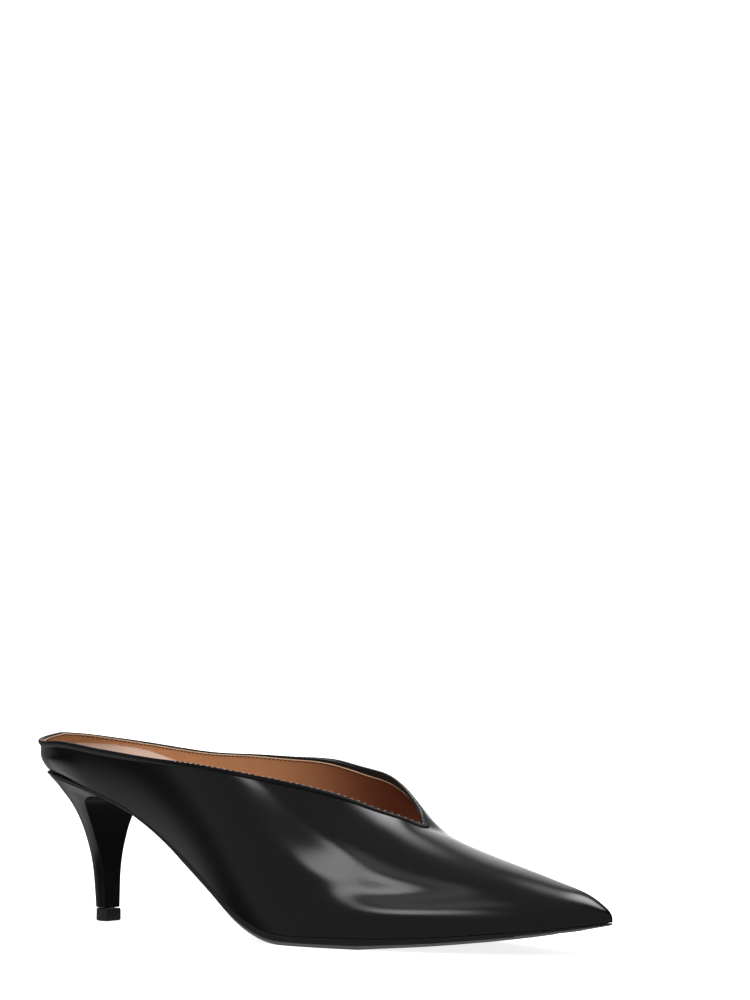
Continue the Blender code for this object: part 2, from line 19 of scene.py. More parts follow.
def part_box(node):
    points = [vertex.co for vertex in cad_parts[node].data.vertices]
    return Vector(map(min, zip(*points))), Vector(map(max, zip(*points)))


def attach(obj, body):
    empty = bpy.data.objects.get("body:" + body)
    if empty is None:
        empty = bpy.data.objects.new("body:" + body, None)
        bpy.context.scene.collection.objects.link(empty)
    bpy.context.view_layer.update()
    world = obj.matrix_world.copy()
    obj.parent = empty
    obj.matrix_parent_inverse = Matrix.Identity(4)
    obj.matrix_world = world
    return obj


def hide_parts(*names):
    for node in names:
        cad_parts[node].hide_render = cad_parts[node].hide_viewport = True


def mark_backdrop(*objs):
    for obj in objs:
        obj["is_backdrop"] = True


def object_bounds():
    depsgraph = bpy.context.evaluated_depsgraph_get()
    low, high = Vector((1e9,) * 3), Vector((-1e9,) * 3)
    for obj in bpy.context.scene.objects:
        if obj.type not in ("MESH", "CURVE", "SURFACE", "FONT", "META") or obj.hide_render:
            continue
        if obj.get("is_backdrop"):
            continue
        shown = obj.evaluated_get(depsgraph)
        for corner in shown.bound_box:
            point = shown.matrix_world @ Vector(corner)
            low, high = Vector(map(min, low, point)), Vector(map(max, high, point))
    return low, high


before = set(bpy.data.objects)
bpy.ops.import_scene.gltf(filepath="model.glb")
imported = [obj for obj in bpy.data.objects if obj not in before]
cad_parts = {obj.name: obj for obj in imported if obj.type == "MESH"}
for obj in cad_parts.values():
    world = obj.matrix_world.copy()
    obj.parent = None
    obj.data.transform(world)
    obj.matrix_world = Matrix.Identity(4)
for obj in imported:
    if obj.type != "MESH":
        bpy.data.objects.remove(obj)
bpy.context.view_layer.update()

MM = 0.001

# %% [markdown]
# ## The last
#
# A shoe is made round a last, a solid foot shape. Here the last is a ring of
# sections that runs from the back along the lateral side to the toe tip and
# back along the medial side. Each section gives the feather line (the bottom
# edge), how the wall sets off from it, where the wall turns over, and the
# instep ridge. A cubic spline joins the sections, so any spot on the wall has
# an exact place.

# %% Sizes of the last
LAST_LENGTH = 0.2590
BALL_WIDTH = 0.0705
SEAT_HEIGHT = 0.0606
THROAT_HEIGHT = 0.0419
WALL = 0.0020             # calf and lining together
TOE_WALL = 0.0048         # the same with the toe stiffener
LIFT_BREAST = 0.0293      # front of the top lift, from the back of the seat

# One row a section, as shares of LAST_LENGTH (along, crown along), SEAT_HEIGHT (bottom),
# THROAT_HEIGHT (rise, crown height) and BALL_WIDTH (the rest), but for the two topline cuts, which
# are shares of the wall's own curve. Columns: along, lateral, medial, bottom, flare, rise, shoulder
# on, shoulder, crown along, crown side, crown height, topline cut lateral, topline cut medial.
SECTIONS = [
    (0.000, 0.000, 0.000, 1.000, 0.099, 0.430, -0.369, 0.000, 0.093, 0.000, 2.673, 0.246, 0.246),
    (0.009, 0.149, 0.149, 1.000, 0.113, 0.430, -0.326, 0.213, 0.093, 0.000, 2.673, 0.217, 0.236),
    (0.033, 0.244, 0.244, 0.990, 0.128, 0.442, -0.199, 0.383, 0.097, 0.000, 2.673, 0.200, 0.219),
    (0.077, 0.298, 0.295, 0.955, 0.121, 0.453, -0.057, 0.482, 0.116, 0.000, 2.661, 0.224, 0.219),
    (0.147, 0.318, 0.309, 0.878, 0.099, 0.477, 0.000, 0.567, 0.162, 0.003, 2.637, 0.250, 0.240),
    (0.224, 0.329, 0.318, 0.766, 0.092, 0.525, 0.000, 0.610, 0.232, 0.007, 2.554, 0.288, 0.282),
    (0.309, 0.355, 0.335, 0.592, 0.092, 0.597, 0.000, 0.624, 0.313, 0.014, 2.363, 0.366, 0.377),
    (0.387, 0.406, 0.369, 0.406, 0.078, 0.644, 0.000, 0.610, 0.391, 0.024, 2.160, 0.460, 0.481),
    (0.464, 0.468, 0.440, 0.210, 0.050, 0.668, 0.000, 0.567, 0.466, 0.045, 1.921, 0.558, 0.604),
    (0.542, 0.505, 0.491, 0.078, 0.026, 0.621, 0.000, 0.496, 0.542, 0.105, 1.654, 0.652, 0.721),
    (0.619, 0.501, 0.495, 0.063, 0.017, 0.501, 0.000, 0.383, 0.619, 0.175, 1.348, 0.744, 0.872),
    (0.666, 0.472, 0.477, 0.066, 0.015, 0.427, 0.000, 0.311, 0.666, 0.136, 1.148, 0.850, 0.925),
    (0.697, 0.446, 0.459, 0.068, 0.014, 0.385, 0.000, 0.271, 0.697, 0.100, 1.035, 1.000, 1.000),
    (0.793, 0.347, 0.383, 0.087, 0.013, 0.286, 0.000, 0.195, 0.791, 0.090, 0.802, 1.000, 1.000),
    (0.870, 0.238, 0.295, 0.117, 0.011, 0.227, 0.000, 0.142, 0.865, 0.101, 0.669, 1.000, 1.000),
    (0.936, 0.114, 0.222, 0.145, 0.009, 0.172, 0.000, 0.087, 0.928, 0.111, 0.556, 1.000, 1.000),
    (0.979, -0.012, 0.172, 0.170, 0.006, 0.110, 0.009, 0.043, 0.973, 0.118, 0.453, 1.000, 1.000),
    (1.000, -0.124, 0.124, 0.182, 0.004, 0.072, 0.020, 0.000, 0.990, 0.124, 0.382, 1.000, 1.000),
]
THROAT_ROW = 12
lift_low, lift_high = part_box("top_lift")
SHIFT = np.array([0.5 * (lift_low[0] + lift_high[0]), lift_low[1] + LIFT_BREAST, 0.0])
print("last set into the shoe at", [round(value / MM, 2) for value in SHIFT], "mm")

# %% [markdown]
# ## A spline for many places at once
#
# Leather flows over a last without a break, and in polished calf even a small
# kink shows as a bent highlight. Blender's curves follow one path at a time,
# but here thousands of places need ten values each. A cubic spline written
# with numpy gives them all in one step, and it can close on itself.

# %% A spline for many places at once
class Curve:
    """Cubic spline through rows of values, natural or closed."""

    def __init__(self, knots, values, closed=False):
        self.knots = np.asarray(knots, float)
        self.values = np.atleast_2d(np.asarray(values, float).T).T
        count = len(self.knots)
        steps = np.diff(self.knots)
        runs = np.diff(self.values, axis=0) / steps[:, None]
        matrix = np.eye(count)
        right = np.zeros_like(self.values)
        for i in range(1, count - 1):
            matrix[i, i - 1:i + 2] = steps[i - 1], 2.0 * (steps[i - 1] + steps[i]), steps[i]
            right[i] = 6.0 * (runs[i] - runs[i - 1])
        if closed:
            matrix[0, -1] = -1.0
            matrix[-1] = 0.0
            matrix[-1, :2] = 2.0 * steps[0], steps[0]
            matrix[-1, -2:] = steps[-1], 2.0 * steps[-1]
            right[-1] = 6.0 * (runs[0] - runs[-1])
        self.bends = np.linalg.solve(matrix, right)

    def __call__(self, places):
        places = np.atleast_1d(np.asarray(places, float))
        i = np.clip(np.searchsorted(self.knots, places, side="right") - 1, 0, len(self.knots) - 2)
        step = (self.knots[i + 1] - self.knots[i])[:, None]
        a = (self.knots[i + 1] - places)[:, None] / step
        b = 1.0 - a
        straight = a * self.values[i] + b * self.values[i + 1]
        bent = (a ** 3 - a) * self.bends[i] + (b ** 3 - b) * self.bends[i + 1]
        return straight + bent * step * step / 6.0


def unit(vectors):
    """Vectors made one long."""
    return vectors / np.maximum(np.linalg.norm(vectors, axis=-1, keepdims=True), 1e-12)


halfway = Curve((0.0, 1.0, 2.0), (0.0, 1.0, 0.0))(0.5)[0, 0]
print("spline through 0, 1 and 0, halfway up:", round(halfway, 4))

# %% [markdown]
# ## The ring of sections
#
# A pointed toe has no clean section square to the shoe's length: a loft along
# the length would need a separate cap at the tip, with a seam. So the sections
# stand on one closed ring round the feather line, from the back over the
# lateral side to the tip and home over the medial side. The knots lie as far
# apart as the feather points do, which keeps the spline even.

# %% The ring of sections
LATERAL, MEDIAL = -1, 1


def section_row(row, side):
    """One section in metres on one side of the last."""
    along, lateral, medial, bottom, flare, rise, on, turn, crown_along, crown_side, height = row[:11]
    half = medial if side > 0 else lateral
    return [side * half * BALL_WIDTH, -along * LAST_LENGTH, bottom * SEAT_HEIGHT,
            flare * BALL_WIDTH, rise * THROAT_HEIGHT, -on * BALL_WIDTH, side * turn * BALL_WIDTH,
            crown_side * BALL_WIDTH, -crown_along * LAST_LENGTH, height * THROAT_HEIGHT]


rows = [section_row(row, LATERAL) for row in SECTIONS]
rows += [section_row(row, MEDIAL) for row in SECTIONS][-2::-1]
chords = np.linalg.norm(np.diff(np.array(rows)[:, :3], axis=0), axis=1)
knots = np.concatenate([[0.0], np.cumsum(0.5 * (chords + chords[::-1]))])
ring = Curve(knots, rows, closed=True)
TIP = knots[len(SECTIONS) - 1]
THROAT = knots[THROAT_ROW]
open_knots = knots[:THROAT_ROW + 1]
open_cuts = [row[-2:] for row in SECTIONS[:THROAT_ROW + 1]]
cuts = {LATERAL: Curve(open_knots, [lateral for lateral, _ in open_cuts]),
        MEDIAL: Curve(open_knots, [medial for _, medial in open_cuts])}
print("ring, mm: throat at", round(THROAT / MM, 1), "tip at", round(TIP / MM, 1))

# %% [markdown]
# ## Any place on the wall
#
# At each station a cubic Bezier curve climbs from the feather line to the
# instep ridge. A real upper is two leathers thick and stiffer at the toe, so a
# second function walks through the wall, towards a line in the hollow. The
# topline is a height on this wall. Working on the wall itself, rather than
# cutting a finished mesh, lets every piece follow the same edge exactly.

# %% Places on the wall
STEP = 0.0002
SPINE_BACK, SPINE_FRONT, SPINE_RISE = 0.0230, 0.2430, 0.45


def place_of(along, side):
    """Place on the ring of a station on one side."""
    return along if side < 0 else 2.0 * TIP - along


def wall_frame(along, side):
    """Feather, wall, turn and crown points, and the outward direction on the floor plan."""
    place = place_of(along, side)
    row = ring(place)
    run = ring(np.minimum(place + STEP, 2.0 * TIP))[:, :2] - ring(np.maximum(place - STEP, 0.0))[:, :2]
    outward = unit(np.stack([run[:, 1], -run[:, 0]], axis=1))
    outward[along < STEP] = (0.0, 1.0)
    feather = row[:, :3]
    wall = feather + np.column_stack([outward * row[:, 3:4], row[:, 4]])
    crown = row[:, 7:10]
    near = ring(np.minimum(along, TIP - STEP))[:, 8:]
    before = ring(np.maximum(np.minimum(along, TIP - STEP) - STEP, 0.0))[:, 8:]
    past = along > THROAT
    run_forward = np.where(past, near[:, 0] - before[:, 0], 1.0)
    slope = np.where(past, (near[:, 1] - before[:, 1]) / run_forward, 0.0)
    turn = crown + np.column_stack([row[:, 6], row[:, 5], row[:, 5] * slope])
    return feather, wall, turn, crown, outward


def outside(along, side, up):
    """Points on the outside of the upper: up is 0 at the feather line and 1 at the crown."""
    feather, wall, turn, crown, _ = [part[:, None, :] for part in wall_frame(along, side)]
    up = up[..., None]
    down = 1.0 - up
    return feather * down ** 3 + 3 * wall * up * down ** 2 + 3 * turn * up ** 2 * down + crown * up ** 3


def spine(along):
    """Line inside the hollow that the wall is thickened towards."""
    lateral = ring(place_of(along, LATERAL))[:, :3]
    medial = ring(place_of(along, MEDIAL))[:, :3]
    crown = ring(along)[:, 9]
    beyond = -lateral[:, 1] > SPINE_FRONT
    middle = np.where(beyond, SPINE_END, 0.5 * (lateral[:, 0] + medial[:, 0]))
    rear = -np.clip(-lateral[:, 1], SPINE_BACK, SPINE_FRONT)
    return np.column_stack([middle, rear, lateral[:, 2] + SPINE_RISE * (crown - lateral[:, 2])])


def wall_point(along, side, up, share=1.0):
    """Points a share of the way through the wall, from the outside 0 to the inside 1."""
    outer = outside(along, side, up)
    target = np.repeat(spine(along)[:, None, :], outer.shape[1], axis=1)
    target[..., 2] = np.minimum(outer[..., 2], target[..., 2])
    toe = np.maximum(0.0, (along - THROAT) / (TIP - THROAT))
    thickness = (WALL + (TOE_WALL - WALL) * toe ** 4)[:, None, None]
    return outer + unit(target - outer) * thickness * share


search = np.linspace(THROAT, TIP, 200)
reached = -ring(search)[:, 1] >= SPINE_FRONT
SPINE_END = 0.5 * (ring(search)[:, 0] + ring(2.0 * TIP - search)[:, 0])[reached][0]


def below_topline(along, side, drop):
    """Height share of the line that runs drop below the topline."""
    step = 2.0 * STEP
    place = np.minimum(along, THROAT)
    cut = cuts[side](place)[:, 0]
    slope = np.where(place > step, (cut - cuts[side](np.maximum(place - step, 0.0))[:, 0]) / step, 0.0)
    cut = cut + np.where(along > THROAT, slope * (along - THROAT), 0.0)
    pair = outside(place, side, np.stack([cut - 0.01, cut], axis=1))
    climb = np.linalg.norm(pair[:, 1] - pair[:, 0], axis=1) / 0.01
    return cut - drop * np.sqrt(1.0 + (slope * climb) ** 2) / climb


def throat_at(drop):
    """Station where the line drop below the topline reaches the crown."""
    along = np.linspace(THROAT, THROAT + 0.02, 4001)
    reach = 0.5 * (below_topline(along, LATERAL, drop) + below_topline(along, MEDIAL, drop))
    return along[np.argmax(reach >= 1.0)]


v_place = outside(np.array([THROAT]), LATERAL, np.ones((1, 1)))[0, 0]
print("V point of the topline, mm:", (v_place / MM).round(1))

# %% [markdown]
# ## From points to pieces
#
# Calf, lining and sock are cut from sheets. A grid of points, rows up the wall
# and columns along it, is the plainest way to such a sheet, and Solidify gives
# it its thickness. Sculpting would look softer, but the pieces would no longer
# fit each other. Each finished piece is handed to the frame, where it rides on
# the body called root and may stand in for a plain CAD node.

# %% Meshes from grids of points
WELD = 0.02 * MM


def sheet_mesh(name, grids, weld=WELD):
    """One open sheet from grids of points, welded where they meet.

    Each grid is (points, flipped): its faces look along the cross product of
    its first and second direction, or the other way when flipped.
    """
    points, faces = [], []
    for grid, flipped in grids:
        first = sum(len(part) for part in points)
        high, wide = grid.shape[:2]
        number = first + np.arange(high * wide).reshape(high, wide)
        quads = np.stack([number[:-1, :-1], number[1:, :-1], number[1:, 1:], number[:-1, 1:]], -1)
        quads = quads.reshape(-1, 4)
        faces += (quads[:, ::-1] if flipped else quads).tolist()
        points.append(grid.reshape(-1, 3))
    mesh = bpy.data.meshes.new(name)
    mesh.from_pydata(np.concatenate(points).tolist(), [], faces)
    shape = bmesh.new()
    shape.from_mesh(mesh)
    bmesh.ops.remove_doubles(shape, verts=shape.verts[:], dist=weld)
    bmesh.ops.dissolve_degenerate(shape, edges=shape.edges[:], dist=1e-7)
    shape.to_mesh(mesh)
    shape.free()
    return mesh


def add_piece(name, mesh, material, sharp=40.0):
    """Object for a mesh, smooth but for its real edges."""
    mesh.shade_smooth()
    mesh.set_sharp_from_angle(angle=math.radians(sharp))
    mesh.materials.clear()
    mesh.materials.append(material)
    piece = bpy.data.objects.new(name, mesh)
    bpy.context.scene.collection.objects.link(piece)
    return piece


def settle(piece):
    """Make the modifiers' result the piece's own mesh."""
    graph = bpy.context.evaluated_depsgraph_get()
    mesh = bpy.data.meshes.new_from_object(piece.evaluated_get(graph))
    piece.modifiers.clear()
    piece.data = mesh
    return piece


def give_thickness(piece, thickness, sharp=40.0):
    """Thicken a sheet away from its visible face."""
    solid = piece.modifiers.new("leather thickness", "SOLIDIFY")
    solid.thickness = thickness
    solid.offset = -1.0
    settle(piece)
    piece.data.set_sharp_from_angle(angle=math.radians(sharp))
    return piece


def hand_over(piece, slot, *nodes):
    """Place the finished piece in the shoe, on the body root, and hide the plain nodes it stands in for."""
    piece.data.transform(Matrix.Translation(Vector(SHIFT)))
    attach(piece, "root")
    if nodes:
        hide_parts(*nodes)
    faces = sum(len(face.vertices) - 2 for face in piece.data.polygons)
    print(f"{piece.name}: {faces} triangles")
    return piece


print("points within", WELD / MM, "mm of each other are welded")

# %% [markdown]
# ## Colours and nodes
#
# A dye is judged by how it looks, so colours are written as hex values, while
# Cycles reckons in linear light. One function converts them. One more adds a
# node together with its values and links, so that a material's recipe reads
# from top to bottom like its node graph from left to right.

# %% Colour and node helpers
def linear(hex_colour):
    """A #rrggbb colour as linear red, green, blue and alpha."""
    parts = [int(hex_colour[i:i + 2], 16) / 255.0 for i in (1, 3, 5)]
    return tuple(c / 12.92 if c <= 0.04045 else ((c + 0.055) / 1.055) ** 2.4 for c in parts) + (1.0,)


def add_node(tree, kind, inputs=None, **settings):
    """Add a node with its settings, values and links."""
    node = tree.nodes.new(kind)
    for key, value in settings.items():
        setattr(node, key, value)
    for socket, value in (inputs or {}).items():
        if isinstance(value, bpy.types.NodeSocket):
            tree.links.new(value, node.inputs[socket])
        else:
            node.inputs[socket].default_value = value
    return node


def new_material(name):
    """An empty node material and its tree."""
    material = bpy.data.materials.new(name)
    material.use_nodes = True
    material.node_tree.nodes.clear()
    return material, material.node_tree


print("mid grey #808080 in linear light:", round(linear("#808080")[0], 3))

# %% [markdown]
# ## A recipe for leather
#
# Dyed leather is never one flat colour: dye and polish sit a little uneven,
# and pores break the gloss. Painted textures would show this too, but noise in
# the object's own metres needs no image and keeps its true size. Real pores
# are near 0.1 mm wide and would only flicker, so they are drawn 0.3 to 0.8 mm
# wide and very shallow. Leather that sees less light deeper in the shoe gets
# painted shade: a second, darker colour along the length.

# %% A recipe for leather
def leather(name, colours, roughness, patch, grain, bump, specular=0.5):
    """Dyed leather: two close shades in soft patches, uneven gloss and a fine grain.

    Patch and grain are widths in metres, and roughness is its least and its most.
    """
    material, tree = new_material(name)
    place = add_node(tree, "ShaderNodeTexCoord").outputs["Object"]
    cloud = add_node(tree, "ShaderNodeTexNoise", {"Vector": place, "Scale": 1.0 / patch, "Detail": 4.0,
                                                  "Roughness": 0.55}).outputs["Fac"]
    shade = add_node(tree, "ShaderNodeMix", {"Factor": cloud, "A": linear(colours[0]),
                                             "B": linear(colours[1])}, data_type="RGBA")
    gloss = add_node(tree, "ShaderNodeMapRange", {"Value": cloud, "From Min": 0.3, "From Max": 0.7,
                                                  "To Min": roughness[0], "To Max": roughness[1]})
    pores = add_node(tree, "ShaderNodeTexVoronoi", {"Vector": place, "Scale": 1.0 / grain},
                     feature="F1").outputs["Distance"]
    relief = add_node(tree, "ShaderNodeBump", {"Height": pores, "Strength": bump,
                                               "Distance": 0.1 * grain})
    shader = add_node(tree, "ShaderNodeBsdfPrincipled", {
        "Base Color": shade.outputs["Result"], "Roughness": gloss.outputs["Result"],
        "Normal": relief.outputs["Normal"], "Specular IOR Level": specular})
    add_node(tree, "ShaderNodeOutputMaterial", {"Surface": shader.outputs["BSDF"]})
    return material


def paint_shade_along(material, painted_shade_colour, first, last):
    """Paint shade into a leather's colour: darker along the shoe, between two places on Y."""
    tree = material.node_tree
    shader = next(node for node in tree.nodes if node.type == "BSDF_PRINCIPLED")
    place = add_node(tree, "ShaderNodeTexCoord").outputs["Object"]
    along = add_node(tree, "ShaderNodeSeparateXYZ", {"Vector": place}).outputs["Y"]
    share = add_node(tree, "ShaderNodeMapRange", {"Value": along, "From Min": first, "From Max": last},
                     interpolation_type="SMOOTHSTEP").outputs["Result"]
    mix = add_node(tree, "ShaderNodeMix", {"Factor": share, "B": linear(painted_shade_colour)}, data_type="RGBA")
    tree.links.new(shader.inputs["Base Color"].links[0].from_socket, mix.inputs["A"])
    tree.links.new(mix.outputs["Result"], shader.inputs["Base Color"])


# Near black with a tight, wet-looking shine that shows every swell of the wall.
black_calf = leather("black box calf, aniline dyed and polished", ("#050506", "#070708"),
                     (0.15, 0.18), 0.018, 0.0006, 0.002)
print("the recipe takes", len(black_calf.node_tree.nodes), "nodes")

# %% [markdown]
# ## The shoe's materials
#
# The outside is box calf: chrome tanned, dyed through with aniline and
# polished, so it is almost black and shines like lacquer. Inside, the lining is
# vegetable tanned and left tan, with a raw edge that is paler than its face.
# Only gloss tells the black parts apart, so each has its own roughness.

# %% Finishes
# The folded strip stays black and dull beside the polished calf, so the edge reads as a line.
binding_calf = leather("black calf binding, skived and rolled", ("#060607", "#09090a"),
                       (0.42, 0.50), 0.006, 0.0005, 0.03, specular=0.16)
# A painted highlight: a thin grey line of light along the fold of that strip.
fold_highlight_paint = leather("grey paint for a highlight on the binding's fold", ("#6f6c6a", "#7d7a78"),
                    (0.22, 0.30), 0.004, 0.0003, 0.05)
# Warm and matt inside, with painted shade deepening it to red brown toward the throat of the shoe.
tan_lining = leather("tan lining leather, vegetable tanned", ("#c68d62", "#b97f55"),
                     (0.50, 0.62), 0.012, 0.0007, 0.25, specular=0.35)
# Painted shade: the lining's colour darkens toward the toe, where less light reaches into the shoe.
paint_shade_along(tan_lining, "#652b08", 0.047, -0.024)
# A fine light line where the undyed middle of the lining shows at its cut.
cut_edge = leather("raw cut edge of the lining", ("#ecc8a6", "#dfb48f"),
                   (0.60, 0.70), 0.003, 0.0004, 0.2, specular=0.3)
# A soft pale patch over the stiff back, with no shine at all.
pale_lining = leather("pale counter lining, suede side out", ("#f0d8c8", "#e8ccb9"),
                      (0.75, 0.85), 0.006, 0.0008, 0.5, specular=0.25)
# Pale and smooth underfoot, a little darker than the patch behind it.
sock_leather = leather("pale sock leather", ("#d9bda8", "#ccae97"),
                       (0.55, 0.65), 0.010, 0.0008, 0.3, specular=0.35)
# The inked edge is black with a waxy, broken sheen, duller than the calf above it.
sole_leather = leather("black sole edge, inked and waxed", ("#080809", "#0c0c0d"),
                       (0.36, 0.46), 0.008, 0.0006, 0.02)
# Dark grey and dry, so the tread reads as rubber when the shoe is turned over.
sole_under = leather("black rubber sole underside, matt", ("#404041", "#4b4b4d"),
                     (0.60, 0.72), 0.008, 0.0006, 0.1, specular=0.3)
# Stretched thin over the heel, a shade duller than the upper.
heel_calf = leather("black calf stretched over the heel", ("#060608", "#08080a"),
                    (0.17, 0.21), 0.012, 0.0006, 0.005, specular=0.28)
# Dense black rubber with a soft sheen, set off from the glossy heel.
lift_rubber = leather("moulded rubber top lift", ("#0d0d0d", "#131314"),
                      (0.5, 0.62), 0.004, 0.0005, 0.2)
# Dark brown-black stitches that sink into the tan lining.
thread = leather("black waxed polyester thread", ("#17130f", "#241c16"),
                 (0.30, 0.38), 0.002, 0.0003, 0.2)
# Painted highlight: the rim thread is coloured light grey for the light ticks where dark thread's tops
# catch the light.
rim_thread_painted_glint = leather("rim thread painted light grey as glints", ("#b5b0aa", "#c4bfb8"),
                     (0.30, 0.38), 0.002, 0.0003, 0.2)
print("materials in the file, with the plain ones of the CAD:", len(bpy.data.materials))

# %% [markdown]
# ## Stations and rows
#
# The calf is drawn tight over the last and turns sharply only along its cut
# edge and round the toe. An even grid fine enough for those would be huge. So
# the columns close up at the V and the toe, and the rows close up under the
# topline, where the binding seam pulls the calf in.

# %% Stations and rows of the upper
TOP_ROWS = np.array([5.4, 4.4, 3.7, 3.1, 2.7, 2.4, 2.2, 2.0, 1.7, 1.2, 0.25]) * MM
LOW_ROWS = 30
SKIN_DROP = TOP_ROWS[-1]
VEE_ZONE = 6.0 * MM


def smooth(value):
    """Soft step from 0 to 1."""
    value = np.clip(value, 0.0, 1.0)
    return value * value * (3.0 - 2.0 * value)


def stations(drop):
    """Stations from back to tip, close together round the point of the V and at the toe."""
    throat = throat_at(drop)
    back = np.linspace(0.0, throat - VEE_ZONE, 116)
    vee = np.linspace(throat - VEE_ZONE, throat, 19)
    past = np.linspace(throat, throat + VEE_ZONE, 19)
    turn = np.linspace(0.0, 0.5 * math.pi, 56)
    front = throat + VEE_ZONE + (TIP - throat - VEE_ZONE) * np.sin(turn)
    return np.concatenate([back, vee[1:], past[1:], front[1:]]), throat


def height_rows(along, side, throat, drops):
    """Heights of the grid rows at each station, even below and close under the topline."""
    open_part = np.minimum(along, throat)
    lines = np.stack([below_topline(open_part, side, drop) for drop in drops], axis=1)
    lines[along >= throat - 1e-9, -1] = 1.0
    low = lines[:, :1] * np.linspace(0.0, 1.0, LOW_ROWS + 1)[:-1]
    return np.hstack([low, lines])


def skin_heights(along, throat, drops):
    """Rows of both sides, which blend into the same rows at the tip."""
    pair = {side: height_rows(along, side, throat, drops) for side in (LATERAL, MEDIAL)}
    middle = 0.5 * (pair[LATERAL] + pair[MEDIAL])
    blend = smooth((along - throat) / (TIP - throat))[:, None]
    return {side: (1.0 - blend) * pair[side] + blend * middle for side in pair}


print("stations on a side:", len(stations(SKIN_DROP)[0]), "rows:", LOW_ROWS + len(TOP_ROWS))

# %% [markdown]
# ## The topline as a path
#
# Binding, stitches and the lining's cut edge all run along the topline, so it
# becomes one closed path with a direction out of, up and through the wall at
# each point. A curve object could carry them, but its twist is hard to hold
# round a sharp V. The point of the V is softened a little, as folded leather
# does, and pulled back and aside, where two sides of the strip crowd together.

# %% The topline as a path
def topline_path(spacing=0.0004, soften=0.0004):
    """Closed path of the topline from the back over lateral, V and medial, its V rounded.

    Returns the points, the direction along, outwards, up, and through the wall.
    """
    along = np.linspace(0.0, THROAT, 900)
    halves = {}
    for side in (LATERAL, MEDIAL):
        up = np.minimum(below_topline(along, side, 0.0), 1.0)[:, None]
        pair = outside(along, side, np.hstack([up - 0.02, up]))
        inner = wall_point(along, side, up)[:, 0]
        run = np.gradient(pair[:, 1], axis=0)
        normal = -side * unit(np.cross(run, pair[:, 1] - pair[:, 0]))
        normal[0] = (0.0, 1.0, 0.0)
        halves[side] = np.hstack([pair[:, 1], unit(inner - pair[:, 1]), normal])
    path = np.concatenate([halves[LATERAL], halves[MEDIAL][-2:0:-1]])
    closed = np.vstack([path, path[:1]])
    run = np.concatenate([[0.0], np.cumsum(np.linalg.norm(np.diff(closed[:, :3], axis=0), axis=1))])
    count = int(round(run[-1] / spacing))
    marks = np.arange(count) * run[-1] / count
    path = np.stack([np.interp(marks, run, closed[:, k]) for k in range(9)], axis=1)
    reach = int(4 * soften / spacing)
    weight = np.exp(-0.5 * (np.arange(-reach, reach + 1) * spacing / soften) ** 2)
    weight /= weight.sum()
    path = sum(w * np.roll(path, k, axis=0) for w, k in zip(weight, range(-reach, reach + 1)))
    points = path[:, :3]
    forward = unit(np.roll(points, -1, axis=0) - np.roll(points, 1, axis=0))
    out = path[:, 6:] - forward * (path[:, 6:] * forward).sum(axis=1, keepdims=True)
    out = unit(out)
    return points, forward, out, np.cross(out, forward), unit(path[:, 3:6]), run[-1]


top_points, top_forward, top_out, top_up, top_through, top_length = topline_path()
VEE = int(np.argmin(top_points[:, 1]))
VEE_POINT = top_points[VEE].copy()


PULL_REACH = 9.0 * MM
PULL_SHIFT = np.array([-1.5, 0.2, -0.9]) * MM


def pull_vee(points):
    """Points near the V pulled back, down and to the lateral side of the instep ridge."""
    away = points - VEE_POINT
    pull = np.exp(-((away / PULL_REACH) ** 2).sum(axis=-1))
    pull *= 1.0 - smooth((away[..., 0] + 0.5 * MM) / PULL_REACH)    # fades on the medial side
    return points + pull[..., None] * PULL_SHIFT


top_points = pull_vee(top_points)
top_count = len(top_points)
to_vee = 1.0 - np.abs(np.arange(top_count) - VEE) / (0.5 * top_count)
print("topline length, mm:", round(top_length / MM, 1), "with", top_count, "points")

# %% [markdown]
# ## Where the band sits
#
# The strip that binds the edge isn't the same all round. At the back it lies
# flat on the cut, and toward the V more of it is turned inside, where it shows
# as a black flap. Three short functions give these sizes from the share of the
# way to the V, so that band, lining and stitches change together.

# %% Sizes along the band
def drop_at(share):
    """How far the band sits below the cut line, in mm: share is 0 at the back, 1 at the V."""
    return 0.10 + 0.40 * smooth((share - 0.80) / 0.14)


def turned_in(share):
    """How far down the inside shows the band, in mm: most beside the V."""
    return np.interp(share, (0.0, 0.60, 0.72, 0.80, 0.88, 0.93, 0.97, 1.0),
                     (0.5, 0.5, 1.1, 2.2, 3.6, 4.6, 3.6, 1.8))


def tall_at(share):
    """Height of the band on the outside, as a share of 2.3 mm."""
    return np.interp(share, (0.0, 0.60, 0.75, 0.85, 0.93, 0.975, 1.0),
                     (0.78, 0.78, 0.92, 0.84, 0.72, 0.80, 1.25))


def by_topline(out, down):
    """Points beside the topline: out of the wall (or into it below 0), and down it."""
    out, down = np.asarray(out)[:, None], np.asarray(down)[:, None]
    return (top_points + top_out * np.maximum(out, 0.0) + top_through * np.maximum(-out, 0.0)
            - top_up * down)


def near_path(points, path):
    """Distance from each point to a dense path, and which of its points is nearest."""
    best = np.full(len(points), 1e9)
    which = np.zeros(len(points), int)
    for start in range(0, len(path), 64):
        gaps = np.linalg.norm(points[:, None] - path[None, start:start + 64], axis=2)
        nearer = gaps.min(axis=1) < best
        which[nearer] = start + gaps.argmin(axis=1)[nearer]
        best = np.minimum(best, gaps.min(axis=1))
    return best, which


print("flap inside, mm: back", turned_in(0.0), "widest", turned_in(0.93), "at the V", turned_in(1.0))
